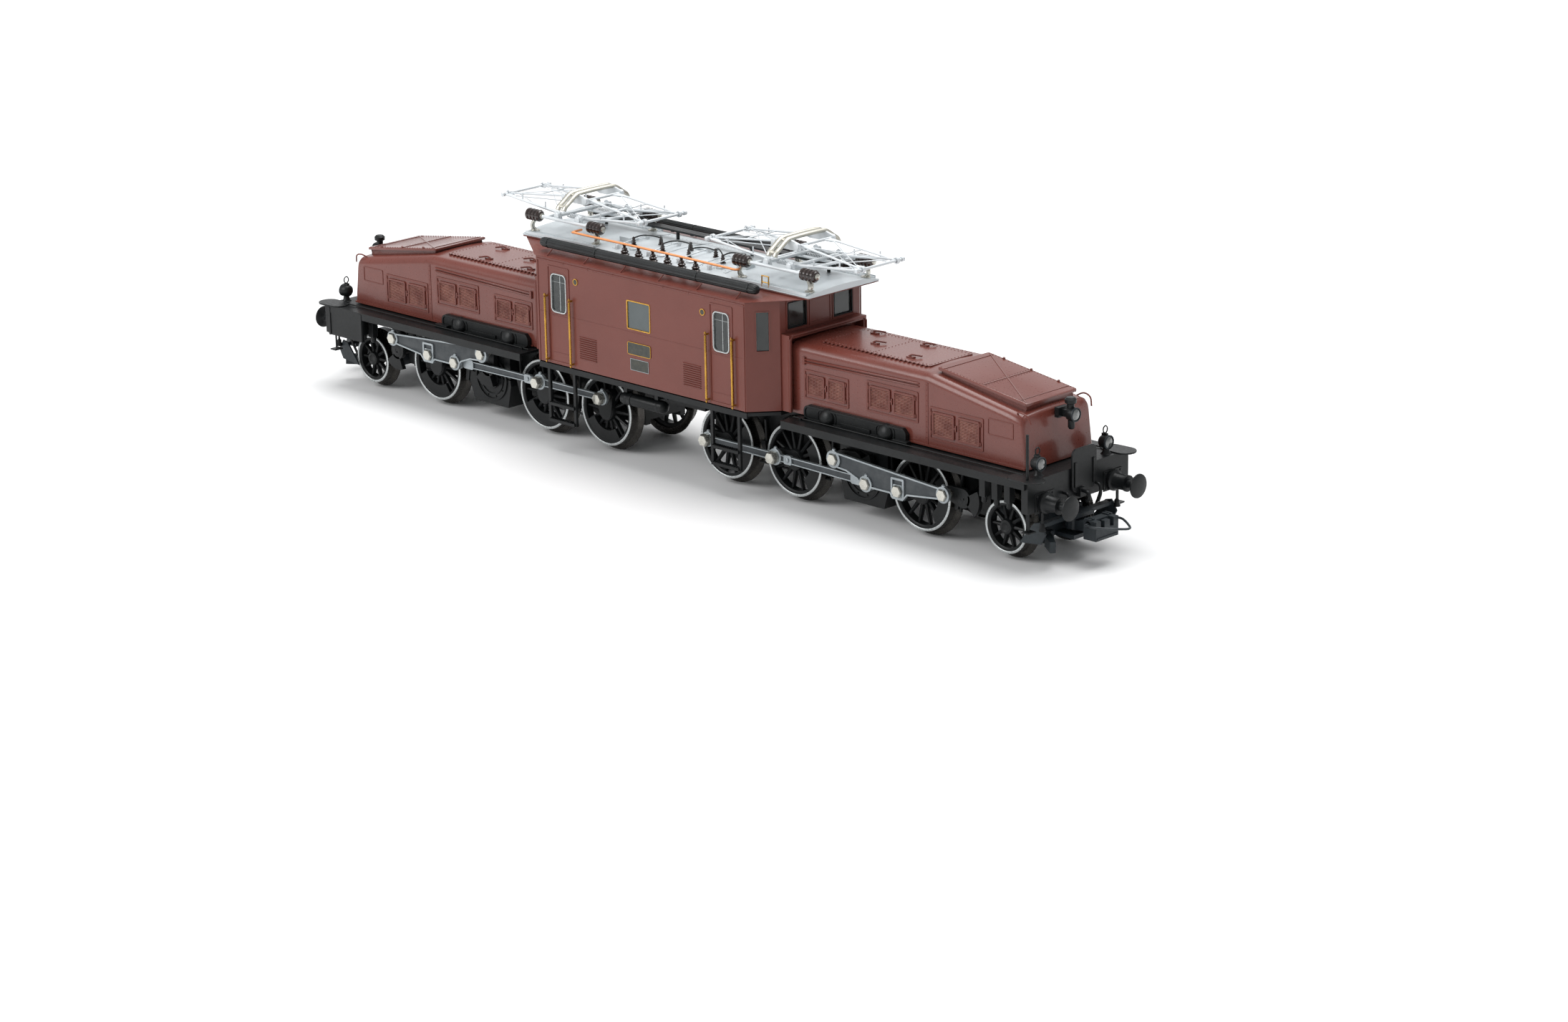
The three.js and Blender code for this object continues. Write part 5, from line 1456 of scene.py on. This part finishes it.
        guards = [prism([(98.7, 3.4), (104.2, 4.0), (105.4, 6.2), (104.0, 8.4), (102.4, 8.0)],
                        *span(side, 10.35, 10.75), Axis.Y) for side in (-1, 1)]
        guards.append(block((102.6, 104.2), (-10.5, 10.5), (7.2, 8.0)))
        self._make("wheel_guards", guards, SLATE, "pony_truck", bevel=0.08)

    def _lamps(self) -> None:
        """Two drum lamps with carrying rings on the footplate and one high on the nose."""
        dark, lens, rims = [], [], []
        for x, y, z in ((102.9, -10.0, 19.9), (102.9, 10.0, 19.9), (103.0, 0.0, 27.6)):
            dark.append(lathe([(0.5, -1.4), (0.95, -1.25), (1.3, -0.85), (1.4, 0.0), (1.4, 0.7),
                               (1.25, 0.8)],
                              (x, y, z), TO_X, 30))
            rims.append(lathe([(1.15, 0.6), (1.42, 0.6), (1.42, 0.86), (1.2, 0.95)], (x, y, z),
                              TO_X, 30, closed=True))
            lens.append(lathe([(1.2, 0.6), (1.1, 0.8), (0.7, 0.95), (0.02, 1.0)], (x, y, z), TO_X,
                              28))
            if y:
                dark.append(lathe([(1.15, -2.7), (1.15, -2.4), (0.75, -2.0), (0.6, -1.2)],
                                  (x, y, z), TO_Z, 20))
                dark.append(block((x - 0.9, x + 0.3), (y - 0.3, y + 0.3), (z + 1.2, z + 1.7)))
                t = np.linspace(0, FULL_TURN, 24, endpoint=False)
                ring = np.stack([np.full(24, x - 0.2), y + 0.62 * np.cos(t),
                                 z + 2.45 + 0.72 * np.sin(t)], 1)
                dark.append(tube(ring, 0.13, 8, closed=True))
            else:
                dark.append(lathe([(0.7, 1.0), (0.75, 2.0), (1.15, 2.2), (1.2, 2.9), (0.8, 3.3),
                                   (0.02, 3.35)],
                                  (x - 0.6, y, z), TO_Z, 20))
                dark.append(block((x - 4.1, x - 0.9), (-0.6, 0.6), (z - 0.7, z + 0.7)))
                dark.append(block((x - 3.4, x - 2.4), (-1.5, 1.5), (z - 0.9, z + 1.1)))
                dark.append(lathe([(0.45, -3.0), (0.7, -2.6), (0.7, -1.2)], (x - 0.4, y, z), TO_Z,
                                  14))
        self._make("lamp_bodies", dark, BLACK, "bogie")
        self._make("lamp_rims", rims, SLATE, "bogie")
        self._make("lamp_lenses", lens, LENS, "bogie")

    def _brakes(self) -> None:
        """Brake hangers and shoes beside the driving wheels, and pull rods between them."""
        shells = []
        for x, lean in ((27.8, 1.0), (46.9, -1.0), (62.9, 1.0), (81.9, -1.0)):
            shells.append(tube([(x, 8.3, 14.2), (x + 0.5 * lean, 8.3, 5.4)], 0.35, 8))
            shells.append(prism([(x - 0.6, 9.8), (x + 0.6, 9.8), (x + 0.9 * lean + 0.3, 6.0),
                                 (x + 0.9 * lean - 0.7, 6.0)],
                                7.7, 9.2, Axis.Y))
        shells.append(tube([(26.0, 8.3, 4.9), (46.0, 8.3, 4.9)], 0.25, 8))
        self._make("brake_gear", both(shells), BLACK, "bogie", bevel=0.05)

    def _buffer(self, side: int) -> None:
        """Turned buffer: flange, stepped barrel, plunger and a domed head."""
        y, z, start, face = side * self.buffer_y, 12.5, 104.8, 111.5
        profile = [(2.1, 0.0), (2.1, 0.5), (1.75, 0.7), (1.6, 0.9), (1.5, 3.3), (1.65, 3.4),
                   (1.65, 3.8), (0.9, 3.9),
                   (0.9, 5.4), (1.3, 5.75), (2.3, 6.05), (2.45, 6.2), (2.42, 6.4), (1.8, 6.58),
                   (0.9, 6.67), (0.02, 6.7)]
        name = self.side_name(side)
        build_piece(f"buffer_turned_{name}_{self.label}",
                    self._put([lathe(profile, (start, y, z), TO_X, 36)]), BLACK,
                    f"bogie_{self.label}",
                    [f"buffer_{name}_{self.label}"])

    def _coupler(self) -> None:
        """Wire loop with a pointed tip, its hinge, and ribs on the coupler head."""
        z = 7.5
        path = curve([(109.7, -3.9, z), (110.3, -4.05, z), (112.4, -3.95, z), (116.2, -1.35, z),
                      (117.2, 0, z),
                      (116.2, 1.35, z), (112.4, 3.95, z), (110.3, 4.05, z), (109.7, 3.9, z)], 6)
        shells = [tube(path, 0.24, 10), tube([(109.7, -4.1, z), (109.7, 4.1, z)], 0.3, 12)]
        self._make("loop_wire", shells, ROD_WEB, "coupler_loop", ["coupler_loop"])
        ribs = [block((108.7, 110.3), (y - 0.25, y + 0.25), (8.25, 8.6))
                for y in (-3.0, -2.2, 2.2, 3.0)]
        ribs += [block((111.75, 112.0), (-3.0, 3.0), (4.7, 5.0)),
                 block((105.0, 108.7), (-1.6, 1.6), (6.85, 7.1))]
        self._make("coupler_ribs", ribs, SLATE, "coupler_head", bevel=0.05)


@dataclass
class Underside:
    """Ladders' finer treads, belly gear and cables seen between the bogies."""

    def build(self) -> None:
        """Makes the trim under the cab floor."""
        shells = []
        for end in (-1, 1):
            for side in (-1, 1):
                x = end * 24.5
                for z in (5.72, 9.32):
                    shells.append(copies(block((-0.12, 0.12), span(side, 15.8, 17.0), (0, 0.1)),
                                         line((x - 3.6, 0, z), (x + 3.6, 0, z), 0.6)))
                shells += [tube([(x + s * 3.9, side * 16.4, 16.8),
                                 (x + s * 3.9, side * 16.4, 17.4)], 0.5, 8)
                           for s in (-1, 1)]
        shells += [block((-6.9, -2.9), (-6.6, -6.0), (12.2, 16.4)),
                   block((1.6, 6.6), (-6.6, -6.0), (12.4, 15.6))]
        shells += [tube(curve([(-10.0, -9.0, 16.8), (-4.0, -9.4, 15.6), (4.0, -9.2, 15.9),
                               (11.0, -8.8, 16.8)], 6),
                        0.35, 8)]
        build_piece("ladder_treads_and_pipes", shells, BLACK, "cab")


def dress_frame() -> None:
    """Gives every CAD node that still shows the finish of its record slot."""
    slots = {part["node"]: part["material_slot"] for part in frame["record"]["subparts"]}
    for name, node in frame["nodes"].items():
        if node.hide_render:
            continue
        finish = SLOT_FINISH[slots[name]]
        if name.startswith(("coupler_head", "pony_frame")):
            finish = SLATE
        break_edges(node, CAD_EDGE)
        node.data.materials.clear()
        node.data.materials.append(finish.make())


# ---------------------------------------------------------------- stage
@dataclass(frozen=True)
class Studio:
    """Floor, soft lights and the camera."""

    target: tuple[float, float, float] = (24.409, 0.0, -6.883)
    azimuth: float = 44.697
    elevation: float = 17.222
    roll: float = -0.923
    distance: float = 858.95
    lens: float = 95.0

    def build(self) -> None:
        """Makes the floor, the lights and the camera."""
        self._floor()
        self._lights()
        self._camera()

    def _floor(self) -> None:
        """A large pale floor just under the wheel flanges."""
        mesh = bpy.data.meshes.new("floor")
        reach = 6.0
        mesh.from_pydata([(-reach, -reach, 0), (reach, -reach, 0), (reach, reach, 0),
                          (-reach, reach, 0)], [],
                         [(0, 1, 2, 3)])
        floor = bpy.data.objects.new("floor", mesh)
        bpy.context.scene.collection.objects.link(floor)
        pale = Finish("pale_floor", "", (0.86, 0.86, 0.86), (0.84, 0.84, 0.84), (0.7, 0.8),
                      patch=80.0, grain=8.0)
        mesh.materials.append(pale.make())

    def _lights(self) -> None:
        """A pale world and three large soft lamps."""
        world = bpy.data.worlds.new("studio_world")
        bpy.context.scene.world = world
        world.use_nodes = True
        tree = world.node_tree
        back = tree.nodes["Background"]
        back.inputs["Color"].default_value = (0.97, 0.985, 1.0, 1.0)
        back.inputs["Strength"].default_value = 0.5
        seen = tree.nodes.new("ShaderNodeBackground")
        seen.inputs["Color"].default_value = (1.0, 1.0, 1.0, 1.0)
        path = tree.nodes.new("ShaderNodeLightPath")
        mix = tree.nodes.new("ShaderNodeMixShader")
        tree.links.new(path.outputs["Is Camera Ray"], mix.inputs["Fac"])
        tree.links.new(back.outputs["Background"], mix.inputs[1])
        tree.links.new(seen.outputs["Background"], mix.inputs[2])
        tree.links.new(mix.outputs["Shader"], tree.nodes["World Output"].inputs["Surface"])
        for name, place, power, size in (("key", (-0.55, -1.0, 0.75), 9.5, 0.8),
                                         ("top", (-0.05, 0.3, 1.1), 14.0, 1.0),
                                         ("rim", (-0.85, 0.87, 0.42), 1.5, 1.0)):
            light = bpy.data.lights.new(name, "AREA")
            light.energy = power
            light.size = size
            lamp = bpy.data.objects.new(name, light)
            lamp.location = place
            lamp.rotation_euler = (-Vector(place)).to_track_quat("-Z", "Y").to_euler()
            bpy.context.scene.collection.objects.link(lamp)
        bpy.context.scene.view_settings.view_transform = "Standard"

    def _camera(self) -> None:
        """Camera on the line from the target back along azimuth and elevation, then rolled."""
        a, e, r = (math.radians(v) for v in (self.azimuth, self.elevation, self.roll))
        back = np.array([math.sin(a) * math.cos(e), -math.cos(a) * math.cos(e), math.sin(e)])
        right = np.array([math.cos(a), math.sin(a), 0.0])
        up = np.cross(back, right)
        x_axis = right * math.cos(r) + up * math.sin(r)
        y_axis = up * math.cos(r) - right * math.sin(r)
        place = (np.array(self.target) + self.distance * back) * MM
        camera = bpy.data.objects.new("camera", bpy.data.cameras.new("camera"))
        camera.data.lens = self.lens
        camera.data.sensor_width = 36.0
        camera.data.clip_start = 0.01
        turn = np.eye(4)
        turn[:3, :3] = np.stack([x_axis, y_axis, back], 1)
        turn[:3, 3] = place
        camera.matrix_world = Matrix(turn.tolist())
        bpy.context.scene.collection.objects.link(camera)
        bpy.context.scene.camera = camera


def main() -> None:
    """Builds the locomotive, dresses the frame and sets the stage."""
    logging.basicConfig(level=logging.WARNING)
    Cab().build()
    Roof().build()
    Pantograph("a", 31.2).build()
    Pantograph("b", -31.2).build()
    Bogie("a", 1, {"right": 172.0, "left": 262.0}).build()
    Bogie("b", -1, {"right": 75.0, "left": 345.0}).build()
    Underside().build()
    dress_frame()
    Studio().build()
    bpy.context.view_layer.update()


if __name__ == "__main__":
    main()
